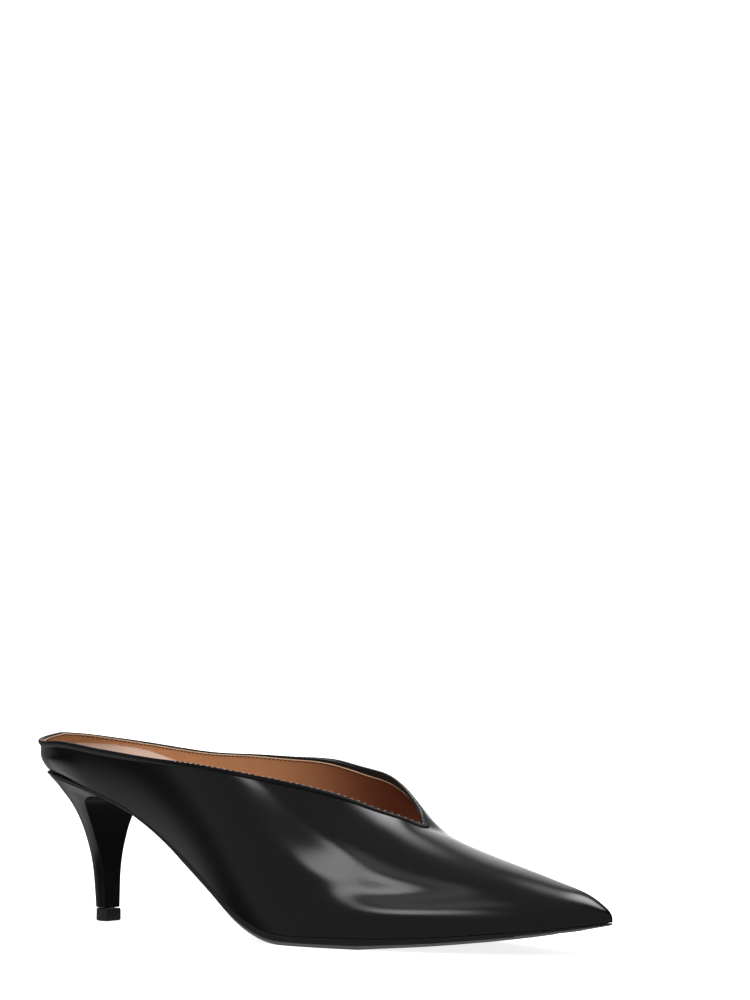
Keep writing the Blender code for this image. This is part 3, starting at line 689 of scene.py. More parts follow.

# %% [markdown]
# ## Shape the calf
#
# A worn or even a new vamp isn't as even as the last: the calf bags a little
# behind the ball of the foot and stands proud over it, and polish turns each
# tenth of a millimetre into a highlight. Sculpting or a cloth solver could give
# such folds, but never in the same place twice. Five long soft mounds and
# hollows, each with its own place, lean and depth, are easy to read and to move.

# %% Troughs and ridges
# Soft troughs (lift below 0) and ridges (above 0) of the lateral wall. Columns: forward from the
# back of the seat, girth up from the feather line, half-length and half-width, in mm; lean of the
# length in radians, below 0 where it falls toward the toe; and lift in mm.
SWELLS = [
    (158, 38, 18, 4.0, -0.50, 0.7),     # ridge under the vamp's shoulder, falling toward the toe
    (162, 29, 16, 4.0, -0.50, -0.6),    # trough along the same fall, right below it
    (190, 7.5, 14, 3.2, 0.0, 0.7),      # ball of the foot, pressed out low on the wall
    (192, 16.5, 20, 3.0, -0.05, -0.7),  # main crease, from the ball toward the toe
    (154, 14, 12, 6.0, -0.30, -0.8)]    # hollow behind the ball


def swell(along, side, up):
    """How far the troughs and ridges move wall points, along the wall's normals."""
    fine = np.linspace(0.0, 1.0, 121)
    wall = outside(along, side, np.repeat(fine[None], len(along), axis=0))
    girth = np.linalg.norm(np.diff(wall, axis=1), axis=2).cumsum(axis=1)
    girth = np.hstack([np.zeros((len(wall), 1)), girth]) / MM
    top = np.minimum(below_topline(along, side, 0.0), 1.0)
    top = np.array([np.interp(a, fine, b) for a, b in zip(top, girth)])[:, None]
    forward = -wall[..., 1] / MM
    lift = np.zeros(girth.shape)
    for place, height, length, width, lean, rise in SWELLS:
        far, high = forward - place, girth - height
        first = (far * math.cos(lean) + high * math.sin(lean)) / length
        second = (high * math.cos(lean) - far * math.sin(lean)) / width
        lift += rise * np.exp(-0.5 * (first * first + second * second))
    # The lift fades out below the topline, and past the V below the instep ridge.
    closed = np.clip((along / TIP - 0.66) / 0.06, 0.0, 1.0)[:, None]
    lift *= ((1.0 - closed) * smooth((top - girth - 0.8) / 4.5)
             + closed * (1.0 - smooth((fine - 0.80) / 0.20)))
    normal = unit(np.cross(np.gradient(wall, axis=0), np.gradient(wall, axis=1)))
    normal *= side * np.sign(normal[..., 0].sum())
    moved = normal * lift[..., None] * MM
    return np.stack([[np.interp(a, fine, b[:, k]) for a, b in zip(up, moved)] for k in range(3)], axis=-1)


print("swells:", len(SWELLS), "deepest", min(row[-1] for row in SWELLS), "mm")

# %% [markdown]
# ## The stiffened back
#
# A stiff counter sits between calf and lining at the back. It keeps the calf
# full, and lets it tuck in over the sole's edge. The sections could carry this
# too, but one spline over the wall's height, which fades out along the sides,
# keeps it in one place.

# %% Counter
COUNTER_FULL, COUNTER_FADE = 24.0 * MM, 26.0 * MM
# Lift in mm over the share of the wall's height.
COUNTER = Curve((0.0, 0.06, 0.13, 0.27, 0.38, 0.50, 0.60, 0.75, 0.85, 1.0),
                (-0.80, -0.42, 0.0, 0.50, 0.74, 0.78, 0.58, 0.10, 0.0, 0.0))


def counter_swell(along, side, up):
    """How far the round stiffened back moves wall points: tucked in over the sole, then full."""
    rear = 1.0 - smooth((along - COUNTER_FULL) / COUNTER_FADE)
    share = np.clip(up / below_topline(along, side, 0.0)[:, None], 0.0, 1.0)
    lift = COUNTER(share.ravel()).reshape(share.shape) * rear[:, None] * MM
    outward = wall_frame(along, side)[4]
    outward = np.column_stack([outward, np.zeros(len(outward))])
    return outward[:, None, :] * lift[..., None]


fullest = COUNTER(np.linspace(0.0, 1.0, 101)).max()
print("counter stands out by up to", round(fullest, 2), "mm")

# %% [markdown]
# ## Calf upper
#
# The upper's outside is one piece of calf, lasted wet and turned under. It is
# two grids, lateral and medial, welded at the back and over the instep ridge.
# Below the binding its seam draws a shallow groove. Cutting the groove in the
# mesh, not in bump, lets it bend the long highlights the way a real one does.

# %% Calf upper
def move_out(mesh, lift_of):
    """Move each vertex along its normal by what lift_of says."""
    count = len(mesh.vertices)
    points = np.empty(count * 3)
    normals = np.empty(count * 3)
    mesh.vertices.foreach_get("co", points)
    mesh.vertex_normals.foreach_get("vector", normals)
    points, normals = points.reshape(-1, 3), normals.reshape(-1, 3)
    lift = lift_of(points)
    mesh.vertices.foreach_set("co", (points + normals * lift[:, None]).ravel())
    mesh.update()
    print(f"  shaped by {lift.min() / MM:.2f} to {lift.max() / MM:.2f} mm")


# Place below the topline, width and depth in mm, where the band is 2.3 mm tall.
SEAM_GROOVE, SEAM_RIDGE = (2.15, 0.22, -0.14), (2.60, 0.30, 0.10)


def seam_pull(points):
    """How far the binding seam pulls the calf in, and lets it stand out below at the back."""
    gap, which = near_path(points, top_points)
    gap = gap / MM / tall_at(to_vee[which])
    groove, ridge = [depth * np.exp(-((gap - place) / width) ** 2)
                     for place, width, depth in (SEAM_GROOVE, SEAM_RIDGE)]
    front = smooth((to_vee[which] - 0.40) / 0.20)
    rear = 1.0 - smooth((-points[:, 1] / MM - 60.0) / 50.0)
    return (groove * (1.0 - 0.85 * front) + ridge * rear) * MM


along, throat = stations(SKIN_DROP)
heights = skin_heights(along, throat, TOP_ROWS)
walls = {side: outside(along, side, heights[side]) + counter_swell(along, side, heights[side])
         for side in (LATERAL, MEDIAL)}
walls[LATERAL] += swell(along, LATERAL, heights[LATERAL])
mesh = sheet_mesh("calf_upper", [(pull_vee(walls[LATERAL]), False), (pull_vee(walls[MEDIAL]), True)])
move_out(mesh, seam_pull)
calf_skin = BVHTree.FromPolygons([vertex.co for vertex in mesh.vertices],
                                 [face.vertices[:] for face in mesh.polygons])
calf_upper = add_piece("calf_upper", mesh, black_calf, 60.0)
give_thickness(calf_upper, 1.0 * MM, 60.0)
hand_over(calf_upper, "upper_leather", "upper")

# %% [markdown]
# ## Binding
#
# A narrow strip of thin calf is stitched on below the edge, folded over it and
# turned inside. A bevelled curve would give a round cord, but the real band is
# flat outside, tight over the fold and thin within. So its outline is drawn as
# a closed profile and swept along the topline, with small puckers where the
# stitches pull it, and its lower edge lies on the calf.

# %% Binding
def outwards(mesh):
    """Turn a closed mesh's faces outwards."""
    shape = bmesh.new()
    shape.from_mesh(mesh)
    bmesh.ops.recalc_face_normals(shape, faces=shape.faces[:])
    if shape.calc_volume(signed=True) < 0.0:
        bmesh.ops.reverse_faces(shape, faces=shape.faces[:])
    shape.to_mesh(mesh)
    shape.free()


def by_skin(out, down):
    """Points beside the topline that follow the curve of the calf below it."""
    base = top_points - top_up * down[:, None]
    found = np.array([calf_skin.find_nearest(Vector(spot))[0] for spot in base])
    out = out[:, None]
    bent = found + top_out * np.maximum(out, 0.0) + top_through * np.maximum(-out, 0.0)
    straight = by_topline(out[:, 0], down)
    return straight + (bent - straight) * smooth((down / MM - 0.2) / 0.8)[:, None]


def band_profile(share):
    """Outline of the folded band: (out, down) pairs, from the seam over the top to the inside."""
    thick = 1.15 - 0.30 * smooth((share - 0.15) / 0.5)
    tall = tall_at(share)
    low = 0.95 + turned_in(share)
    return np.array([
        (-0.25, 2.34 * tall), (0.12, 2.31 * tall), (0.36 * thick, 2.20 * tall),
        (0.49 * thick, 1.98 * tall), (0.54 * thick, 1.60 * tall), (0.57 * thick, 1.12 * tall),
        (0.57 * thick, 0.60 * tall), (0.54 * thick, 0.22), (0.42 * thick, 0.04), (0.05, -0.06),
        (-0.42, -0.06), (-0.76, 0.02), (-1.08, 0.18), (-1.36, 0.40), (-1.58, 0.62),
        (-1.70, 0.41 + 0.33 * low), (-1.72, 0.20 + 0.67 * low), (-1.72, low), (-1.50, low + 0.10),
        (-1.20, low), (-1.05, 0.75), (-0.60, 0.60), (-0.30, 1.00)]) * MM + (0.0, drop_at(share) * MM)


PUCKER, PUCKER_PITCH = 0.15 * MM, 2.0 * MM
profiles = np.array([band_profile(share) for share in to_vee])
run = np.arange(top_count) * top_length / top_count
pucker = (0.5 + 0.5 * np.cos(2.0 * math.pi * run / PUCKER_PITCH)) ** 2
pucker *= PUCKER * smooth((to_vee - 0.30) / 0.2)
profiles[:, 7:10, 0] -= pucker[:, None]
profiles[:, 7:10, 1] += 0.6 * pucker[:, None]
band = np.stack([by_skin(profiles[:, k, 0], profiles[:, k, 1]) for k in range(profiles.shape[1])],
                axis=1)
band = np.concatenate([band, band[:1]])
band = np.concatenate([band, band[:, :1]], axis=1)
mesh = sheet_mesh("topline_band", [(band, False)])
outwards(mesh)
topline_band = add_piece("topline_band", mesh, binding_calf, 50.0)
hand_over(topline_band, "binding_leather", "topline_binding")

# %% [markdown]
# ## Lining
#
# The lining is a second shoe inside the first, cut from tan leather. It ends
# under the turned-in strip, and low at the back a pale counter lining takes
# over along a sloping edge. It could be the calf's mesh moved inwards, but then
# the edges would be wrong. Each column is spaced again, so that it ends just
# where the strip's flap begins.

# %% Lining
LINING_THICKNESS = 0.6 * MM
LINING_DROP = 2.25 * MM     # its columns close up at this line's V
LINING_TOP = 0.7 * MM       # how far below the topline it starts, before it is cut
LINING_END = 9.0 * MM       # how far from the tip it ends, out of sight
RIM_DEPTH = 1.9 * MM        # the rim's inner side, through the wall
FLAP_COVER = 7.0 * MM       # how far past the V the flap still covers the lining
COUNTER_REACH = 84.0 * MM   # how far along the counter lining goes
# Upper edge of the counter lining: forward from the back and height, in mm.
COUNTER_EDGE = [(-10, 71.4), (5, 71.2), (9, 70.8), (15, 70.0), (20, 69.4), (28, 67.8), (34, 66.3),
                (40, 64.5), (48, 61.0), (56, 55.5), (62, 47.0), (66, 0.0)]


def counter_height(along, side):
    """Height share of the wall at which the pale counter lining ends."""
    up = np.linspace(0.0, 0.6, 241)
    wall = wall_point(along, side, np.repeat(up[None], len(along), 0))
    line = np.array(COUNTER_EDGE) * MM
    edge = np.interp(-wall[..., 1], line[:, 0], line[:, 1])
    above = wall[..., 2] > edge
    return np.where(above.any(axis=1), up[above.argmax(axis=1)], 0.6)


def cut_at_flap(wall, side, last_column):
    """Space each column of the wall again, to end where the turned-in flap begins."""
    shown = side * (top_points[:, 0] - VEE_POINT[0]) > -1.0 * MM
    rim = (top_points + top_through * RIM_DEPTH)[shown]
    flap = (turned_in(to_vee) + drop_at(to_vee) + 0.12)[shown] * MM
    for k in range(last_column):
        column = wall[k]
        gap, which = near_path(column, rim)
        deep = np.flatnonzero(gap >= flap[which])
        last = deep[-1] if len(deep) else 0
        if 0 < last < len(column) - 1:
            inner, outer = gap[last] - flap[which[last]], gap[last + 1] - flap[which[last + 1]]
            spot = last + inner / max(inner - outer, 1e-9)
            marks = np.linspace(0.0, spot, len(column))
            wall[k] = np.column_stack([np.interp(marks, np.arange(len(column)), axis)
                                       for axis in column.T])


along, throat = stations(LINING_DROP)
along = np.sort(np.concatenate([along, np.linspace(1.0 * MM, COUNTER_REACH, 90)]))
along = along[along < TIP - LINING_END]
tops, lows = {}, {}
for side in (LATERAL, MEDIAL):
    tops[side] = below_topline(np.minimum(along, throat), side, LINING_TOP)
    tops[side][along >= throat - 1e-9] = 1.0
    lows[side] = counter_height(along, side)
common = 0.5 * (tops[LATERAL] + tops[MEDIAL])
blend = np.clip((along - throat) / (TIP - throat), 0.0, 1.0) ** 2
grids = []
for side in (LATERAL, MEDIAL):
    top = (1.0 - blend) * tops[side] + blend * common
    up = lows[side][:, None] + (top - lows[side])[:, None] * np.linspace(0.0, 1.0, 41)
    wall = wall_point(along, side, up)
    if side == LATERAL:
        wall += swell(along, side, up)
    wall = pull_vee(wall)
    cut_at_flap(wall, side, np.count_nonzero(along < throat + FLAP_COVER))
    grids.append((wall, side < 0))
mesh = sheet_mesh("tan_lining", grids)
lining = add_piece("tan_lining", mesh, tan_lining, 60.0)
give_thickness(lining, LINING_THICKNESS, 60.0)
hand_over(lining, "insole_leather")

# %% [markdown]
# ## Raw edge of the lining
#
# The lining is trimmed by knife just below the flap, and its cut shows as a
# light line. Vertex colours would blur at this width, so a bead a third of a
# millimetre wide lies along the cut.

# %% Raw edge of the lining
def bead_mesh(name, out, down, wide, high):
    """A thin bead all round the topline: its centre and half-sizes in mm."""
    turn = np.linspace(0.0, 2.0 * math.pi, 9)
    rows = [by_skin((out + wide * math.cos(a)) * MM, (down + high * math.sin(a)) * MM) for a in turn]
    bead = np.stack(rows, axis=1)
    mesh = sheet_mesh(name, [(np.concatenate([bead, bead[:1]]), False)])
    outwards(mesh)
    return mesh


edge_down = turned_in(to_vee) + drop_at(to_vee) + 0.22
mesh = bead_mesh("lining_raw_edge", np.full(top_count, -1.93), edge_down, 0.17, 0.20)
raw_edge = add_piece("lining_raw_edge", mesh, cut_edge, 60.0)
hand_over(raw_edge, "insole_leather")

# %% [markdown]
# ## Painted highlight on the fold
#
# On the medial side the top of the fold faces the light and shows a thin grey
# line of light, which is painted here as a grey bead. A second material on the
# band's own faces would have a stepped edge. A bead swells out of the band where
# the line shows and sinks into it elsewhere, so that it has no ends to see.

# %% Painted highlight on the fold
# Painted highlight: the grey bead swells out only on the medial side, where the fold would reflect light.
medial = np.where(np.arange(top_count) > VEE, 1.0, 0.0)
swelled = medial * smooth((to_vee - 0.58) / 0.1) * (1.0 - smooth((to_vee - 0.965) / 0.02))
mesh = bead_mesh("painted_fold_highlight", 0.02 + 0.10 * swelled, drop_at(to_vee) + 0.30 - 0.34 * swelled,
                 0.04 + 0.20 * swelled, 0.04 + 0.14 * swelled)
fold = add_piece("painted_fold_highlight", mesh, fold_highlight_paint, 60.0)
hand_over(fold, "binding_leather")

# %% [markdown]
# ## Counter lining
#
# Over the stiff back lies a pale piece with its suede side out, which grips
# the heel. It could be a colour on the lining, but the real one is a piece of
# its own with a thickness. It reaches a little under the tan lining, as a
# lapped seam does, so no gap can open between the two.

# %% Counter lining
along = np.linspace(0.0, COUNTER_REACH, 110)
grids = []
for side in (LATERAL, MEDIAL):
    high = np.minimum(counter_height(along, side) + 0.05, below_topline(along, side, 1.8 * MM))
    up = high[:, None] * np.linspace(0.0, 1.0, 16)
    grids.append((wall_point(along, side, up, 0.84), side < 0))
mesh = sheet_mesh("counter_lining", grids)
counter_lining = add_piece("counter_lining", mesh, pale_lining, 60.0)
give_thickness(counter_lining, 0.4 * MM, 60.0)
hand_over(counter_lining, "insole_leather")

# %% [markdown]
# ## Lining seam at the back
#
# The lining closes with one seam beside the back's middle, pressed open so
# that two low ridges show. A strip with that relief across it gives the seam
# its own light and shade, which bump on a matt leather would hardly do.

# %% Lining seam at the back
SEAM_PLACE, SEAM_HALF, SEAM_FOOT = 5.2 * MM, 0.55 * MM, 0.14
SEAM_RELIEF = (-0.05, 0.07, 0.10, 0.02, 0.02, 0.10, 0.07, -0.05)
rows = []
for offset, lift in zip(np.linspace(-SEAM_HALF, SEAM_HALF, len(SEAM_RELIEF)), SEAM_RELIEF):
    here = np.array([SEAM_PLACE + offset])
    up = np.linspace(SEAM_FOOT, below_topline(here, MEDIAL, 0.9 * MM)[0], 40)[None]
    wall = wall_point(here, MEDIAL, up)[0]
    beyond = wall_point(here, MEDIAL, up, 1.05)[0]
    rows.append(wall + unit(beyond - wall) * lift * MM)
mesh = sheet_mesh("lining_back_seam", [(np.array(rows), False)])
seam = add_piece("lining_back_seam", mesh, tan_lining, 60.0)
give_thickness(seam, 0.15 * MM, 60.0)
hand_over(seam, "insole_leather")

# %% [markdown]
# ## Stitches
#
# Two rows hold the strip: one through the lining below the flap, one along the
# rim. Every stitch is the same short waxed thread, a little aslant, and the rim
# row's thread is painted light grey as highlights. Geometry Nodes set one small
# ellipsoid at each step along the path, turned to the wall, so pitch and size
# stay named inputs. The result is kept as a plain mesh.

# %% Stitches
def stitch_tree(material):
    """Geometry nodes that lay short stitches along a path of points."""
    tree = bpy.data.node_groups.new("stitches", "GeometryNodeTree")
    face = tree.interface
    face.new_socket("Geometry", in_out="INPUT", socket_type="NodeSocketGeometry")
    for name in ("Pitch", "Length", "Width", "Height", "Slant"):
        face.new_socket(name, in_out="INPUT", socket_type="NodeSocketFloat")
    face.new_socket("Geometry", in_out="OUTPUT", socket_type="NodeSocketGeometry")
    given = add_node(tree, "NodeGroupInput").outputs
    path = add_node(tree, "GeometryNodeMeshToCurve", {"Mesh": given["Geometry"]})
    spots = add_node(tree, "GeometryNodeCurveToPoints",
                     {"Curve": path.outputs["Curve"], "Length": given["Pitch"]}, mode="LENGTH")
    out = add_node(tree, "GeometryNodeInputNamedAttribute", {"Name": "out"}, data_type="FLOAT_VECTOR")
    turn = add_node(tree, "FunctionNodeAxesToRotation",
                    {"Primary Axis": out.outputs["Attribute"], "Secondary Axis": spots.outputs["Tangent"]},
                    primary_axis="Z", secondary_axis="X")
    lean = add_node(tree, "FunctionNodeAxisAngleToRotation", {"Axis": (0.0, 0.0, 1.0),
                                                              "Angle": given["Slant"]})
    turned = add_node(tree, "FunctionNodeRotateRotation",
                      {"Rotation": turn.outputs["Rotation"], "Rotate By": lean.outputs["Rotation"]},
                      rotation_space="LOCAL")
    size = add_node(tree, "ShaderNodeCombineXYZ",
                    {"X": given["Length"], "Y": given["Width"], "Z": given["Height"]})
    knot = add_node(tree, "GeometryNodeMeshUVSphere", {"Segments": 8, "Rings": 6, "Radius": 0.5})
    placed = add_node(tree, "GeometryNodeInstanceOnPoints",
                      {"Points": spots.outputs["Points"], "Instance": knot.outputs["Mesh"],
                       "Rotation": turned.outputs["Rotation"], "Scale": size.outputs["Vector"]})
    real = add_node(tree, "GeometryNodeRealizeInstances", {"Geometry": placed.outputs["Instances"]})
    rounded = add_node(tree, "GeometryNodeSetShadeSmooth", {"Geometry": real.outputs["Geometry"]})
    coloured = add_node(tree, "GeometryNodeSetMaterial",
                        {"Geometry": rounded.outputs["Geometry"], "Material": material})
    add_node(tree, "NodeGroupOutput", {"Geometry": coloured.outputs["Geometry"]})
    return tree


def grow(name, points, edges, vectors, tree, sizes):
    """Run a geometry node tree on a path and keep the result as a plain mesh."""
    mesh = bpy.data.meshes.new(name)
    mesh.from_pydata(points.tolist(), edges, [])
    mesh.attributes.new("out", "FLOAT_VECTOR", "POINT").data.foreach_set("vector", vectors.ravel())
    piece = bpy.data.objects.new(name, mesh)
    bpy.context.scene.collection.objects.link(piece)
    maker = piece.modifiers.new("maker", "NODES")
    maker.node_group = tree
    for item in tree.interface.items_tree:
        if item.in_out == "INPUT" and item.name in sizes:
            maker[item.identifier] = sizes[item.name]
    settle(piece)
    return piece


path = by_skin(np.full(top_count, -2.02 * MM), (edge_down + 0.50) * MM)
edges = [(k, (k + 1) % top_count) for k in range(top_count)]
lining_stitches = grow("lining_stitches", path, edges, top_through, stitch_tree(thread),
                       {"Pitch": 2.0 * MM, "Length": 1.9 * MM, "Width": 0.42 * MM,
                        "Height": 0.34 * MM, "Slant": math.radians(18.0)})
hand_over(lining_stitches, "binding_leather")
path = by_topline(np.full(top_count, 0.38 * MM), (drop_at(to_vee) + 0.12) * MM)
shown = np.flatnonzero(to_vee > 0.52)
edges = [(k, k + 1) for k in range(len(shown) - 1)]
# The rim thread's light grey is a painted highlight on dark thread.
rim_stitches = grow("rim_stitches", path[shown], edges, unit(top_out + top_up)[shown],
                    stitch_tree(rim_thread_painted_glint),
                    {"Pitch": 2.6 * MM, "Length": 1.0 * MM, "Width": 0.30 * MM, "Height": 0.30 * MM,
                     "Slant": math.radians(16.0)})
hand_over(rim_stitches, "binding_leather")

# %% [markdown]
# ## Sock
#
# The sock covers the insole board and is glued down, with a soft pad under the
# heel. It spans the two feather lines and rolls off at the wall. A flat outline
# with a bevel would miss the shoe's twist, so a grid across the shoe makes it,
# closer at its edges where it rolls off.

# %% Sock
INSOLE_THICKNESS = 2.6 * MM
along, _ = stations(SKIN_DROP)
along = along[:-6]      # the last stations lie too close together at the tip
ends = {side: wall_point(along, side, np.zeros((len(along), 1)))[:, 0] for side in (LATERAL, MEDIAL)}
across = np.concatenate([[0.0, 0.006, 0.016, 0.032], np.linspace(0.06, 0.94, 23),
                         [0.968, 0.984, 0.994, 1.0]])
top = ends[LATERAL][:, None] * (1.0 - across)[:, None] + ends[MEDIAL][:, None] * across[:, None]
width = np.linalg.norm(ends[MEDIAL] - ends[LATERAL], axis=1)[:, None]
inset = np.minimum(across, 1.0 - across)[None] * width
roll = np.clip(inset / (1.2 * MM), 0.0, 1.0)
reach = -top[..., 1]
heel_pad = np.exp(-((reach - 0.030) / 0.020) ** 2) * np.sin(math.pi * across)[None] ** 1.5
top[..., 2] += INSOLE_THICKNESS * (0.55 + 0.45 * np.sqrt(1.0 - (1.0 - roll) ** 2)) + 0.8 * MM * heel_pad
mesh = sheet_mesh("sock", [(top, True)], 0.01 * MM)
sock = add_piece("sock", mesh, sock_leather, 60.0)
give_thickness(sock, 1.2 * MM, 60.0)
hand_over(sock, "insole_leather", "insole")

# %% [markdown]
# ## Outsole
#
# The sole is thin under the seat and waist and thicker under the ball, with an
# edge that is rounded, inked and waxed. Bevelling a flat slab can't follow an
# edge whose height changes all the way, so rings are stacked down the edge,
# each inset by its own amount, and closed above and below.

# %% Outsole
GAP = 0.10 * MM
SEAT_SOLE = 1.4 * MM
SEAT_RUN = 30.0 * MM        # over which the seat's thin sole passes into the underside
HEEL_FRONT = 55.0 * MM      # rubber shows in front of this line
# Underside of the sole: shares of LAST_LENGTH forward, and of SEAT_HEIGHT up.
UNDERSIDE = [(0.232, 0.712), (0.309, 0.541), (0.387, 0.343), (0.426, 0.244), (0.464, 0.141),
             (0.503, 0.060), (0.542, 0.010), (0.580, -0.003), (0.650, -0.010), (0.712, 0.008),
             (0.774, 0.029), (0.851, 0.063), (0.928, 0.107), (0.967, 0.136), (1.000, 0.162)]
under = Curve([row[0] * LAST_LENGTH for row in UNDERSIDE], [row[1] * SEAT_HEIGHT for row in UNDERSIDE])
FIRST = UNDERSIDE[0][0] * LAST_LENGTH
along, _ = stations(SKIN_DROP)


def both_sides(function):
    """A value for each station round the whole sole."""
    return np.concatenate([function(along, LATERAL), function(along[-2:0:-1], MEDIAL)])


feather = both_sides(lambda a, s: wall_frame(a, s)[0])
inward = both_sides(lambda a, s: unit((spine(a) - wall_frame(a, s)[0]) * (1.0, 1.0, 0.0)))
top_z = feather[:, 2] - GAP
thin_z = top_z - SEAT_SOLE
reach = -feather[:, 1]
shaped = np.maximum(0.0, under(np.maximum(reach, FIRST))[:, 0])
share = np.clip((reach - FIRST) / SEAT_RUN, 0.0, 1.0)
bottom_z = thin_z + (shaped - thin_z) * share
depth = top_z - bottom_z
forepart = smooth((reach / MM - 125.0) / 20.0)      # 1 from the ball to the tip
rear = 1.0 - smooth((reach / MM - 50.0) / 30.0)     # 1 round the seat


def sole_ring(inset, height):
    """One ring of the sole: inset in mm and height as an array."""
    place = feather + inward * (np.ones(len(feather)) * inset)[:, None] * MM
    place[:, 2] = height
    return place


# From inside the upper edge, over the rounded side, to inside the underside's rim.
rings = [
    sole_ring(2.6, top_z - 0.2 * MM),
    sole_ring(1.0, top_z - 0.15 * MM),
    sole_ring(0.45, top_z - 0.10 * MM),
    sole_ring(0.14 - 0.30 * rear, top_z - 0.14 * MM),
    sole_ring(0.03 - 0.34 * rear, top_z - 0.22 * depth),
    sole_ring(0.00 - 0.40 * rear, top_z - 0.38 * depth),
    sole_ring(0.04 - 0.40 * rear, top_z - 0.54 * depth),
    sole_ring(0.20 - 0.40 * rear, top_z - 0.66 * depth),
    sole_ring(0.75, top_z - 0.76 * depth),
    sole_ring(1.20, top_z - 0.92 * depth),
    sole_ring(1.60, bottom_z),
    sole_ring(2.9, bottom_z),
    sole_ring(3.3, bottom_z + 0.35 * MM * forepart),
]
skin = np.stack(rings, axis=1)
skin = np.concatenate([skin, skin[:1]])
half = len(along)
grids = [(skin, False)]
for row, flipped in ((0, False), (-1, True)):
    left = rings[row][:half]
    right = np.concatenate([rings[row][:1], rings[row][half:][::-1], rings[row][half - 1:half]])
    mix = np.linspace(0.0, 1.0, 15)[:, None]
    grids.append((left[:, None] * (1.0 - mix) + right[:, None] * mix, flipped))
mesh = sheet_mesh("outsole_shaped", grids, 0.01 * MM)
outwards(mesh)
outsole = add_piece("outsole_shaped", mesh, sole_leather, 35.0)
mesh.materials.append(sole_under)
for face in mesh.polygons:
    facing_down = face.normal.z < -0.45
    face.material_index = int(facing_down and -face.center.y > HEEL_FRONT)
hand_over(outsole, "sole_rubber", "outsole")

# %% [markdown]
# ## Tread
#
# A smooth sole slips, so the rubber under the ball carries low round studs in
# staggered rows. They are far too many to model one by one. Geometry Nodes put
# the same small cylinder on every point of a list that stays inside the sole's
# outline.

# %% Tread
def stud_tree(material):
    """Geometry nodes that set a low round stud on every point."""
    tree = bpy.data.node_groups.new("studs", "GeometryNodeTree")
    face = tree.interface
    face.new_socket("Geometry", in_out="INPUT", socket_type="NodeSocketGeometry")
    for name in ("Radius", "Height"):
        face.new_socket(name, in_out="INPUT", socket_type="NodeSocketFloat")
    face.new_socket("Geometry", in_out="OUTPUT", socket_type="NodeSocketGeometry")
    given = add_node(tree, "NodeGroupInput").outputs
    stud = add_node(tree, "GeometryNodeMeshCylinder",
                    {"Vertices": 10, "Radius": given["Radius"], "Depth": given["Height"]})
    placed = add_node(tree, "GeometryNodeInstanceOnPoints",
                      {"Points": given["Geometry"], "Instance": stud.outputs["Mesh"]})
    real = add_node(tree, "GeometryNodeRealizeInstances", {"Geometry": placed.outputs["Instances"]})
    coloured = add_node(tree, "GeometryNodeSetMaterial",
                        {"Geometry": real.outputs["Geometry"], "Material": material})
    add_node(tree, "NodeGroupOutput", {"Geometry": coloured.outputs["Geometry"]})
    return tree


STUD_STEP, STUD_INSET, ROW_STEP = 4.2 * MM, 7.0 * MM, 0.87
TREAD_BACK, TREAD_FRONT, TREAD_HALF = 0.150, 0.236, 40.0 * MM
side_reach = reach[:half]
left_x = feather[:half, 0]
right_x = np.concatenate([feather[:1, 0], feather[half:, 0][::-1], feather[half - 1:half, 0]])
spots = []
for row, place in enumerate(np.arange(TREAD_BACK, TREAD_FRONT, STUD_STEP * ROW_STEP)):
    low_x = np.interp(place, side_reach, left_x) + STUD_INSET
    high_x = np.interp(place, side_reach, right_x) - STUD_INSET
    level = max(0.0, under(place)[0, 0]) + 0.20 * MM
    offset = 0.5 * STUD_STEP * (row % 2)
    for x in np.arange(-TREAD_HALF + offset, TREAD_HALF, STUD_STEP):
        if low_x < x < high_x:
            spots.append((x, -place, level))
spots = np.array(spots)
studs = grow("tread_studs", spots, [], np.zeros_like(spots), stud_tree(sole_under),
             {"Radius": 1.1 * MM, "Height": 0.36 * MM})
hand_over(studs, "sole_rubber")

# %% [markdown]
# ## Heel
#
# The heel is a moulded core covered in the upper's calf, curved at the back
# and flat at the breast, and it flares into the seat. A turned shape would be
# round all over, so D-shaped outlines are stacked from the lift to the seat.
# A small bevel stands for the calf folded round the breast's edges.

# %% Heel
# Share of the way up, back and breast as shares of LAST_LENGTH, half-width as a share of
# BALL_WIDTH, and how square the outline is (2 is an ellipse).
HEEL = [
    (0.097, 0.0797, 0.1103, 0.0611, 2.30), (0.180, 0.0782, 0.1099, 0.0640, 2.30),
    (0.275, 0.0761, 0.1092, 0.0678, 2.30), (0.365, 0.0740, 0.1083, 0.0747, 2.30),
    (0.455, 0.0713, 0.1074, 0.0866, 2.30), (0.545, 0.0671, 0.1064, 0.1060, 2.30),
    (0.620, 0.0634, 0.1056, 0.1270, 2.30), (0.690, 0.0588, 0.1052, 0.1480, 2.35),
    (0.760, 0.0527, 0.1054, 0.1740, 2.40), (0.815, 0.0463, 0.1062, 0.1960, 2.50),
    (0.865, 0.0377, 0.1080, 0.2180, 2.60), (0.910, 0.0282, 0.1130, 0.2410, 2.75),
    (0.950, 0.0182, 0.1280, 0.2620, 2.90), (0.978, 0.0095, 0.1500, 0.2830, 3.00),
    (1.000, 0.0037, 0.1780, 0.3020, 3.10)]
heel_curve = Curve([row[0] for row in HEEL], [row[1:] for row in HEEL])
lateral_feather = wall_frame(np.linspace(0.0, THROAT, 600), LATERAL)[0]


def seat_height(reach):
    """Height of the sole's underside above the heel."""
    return np.interp(reach, -lateral_feather[:, 1], lateral_feather[:, 2]) - 0.3 * MM - SEAT_SOLE


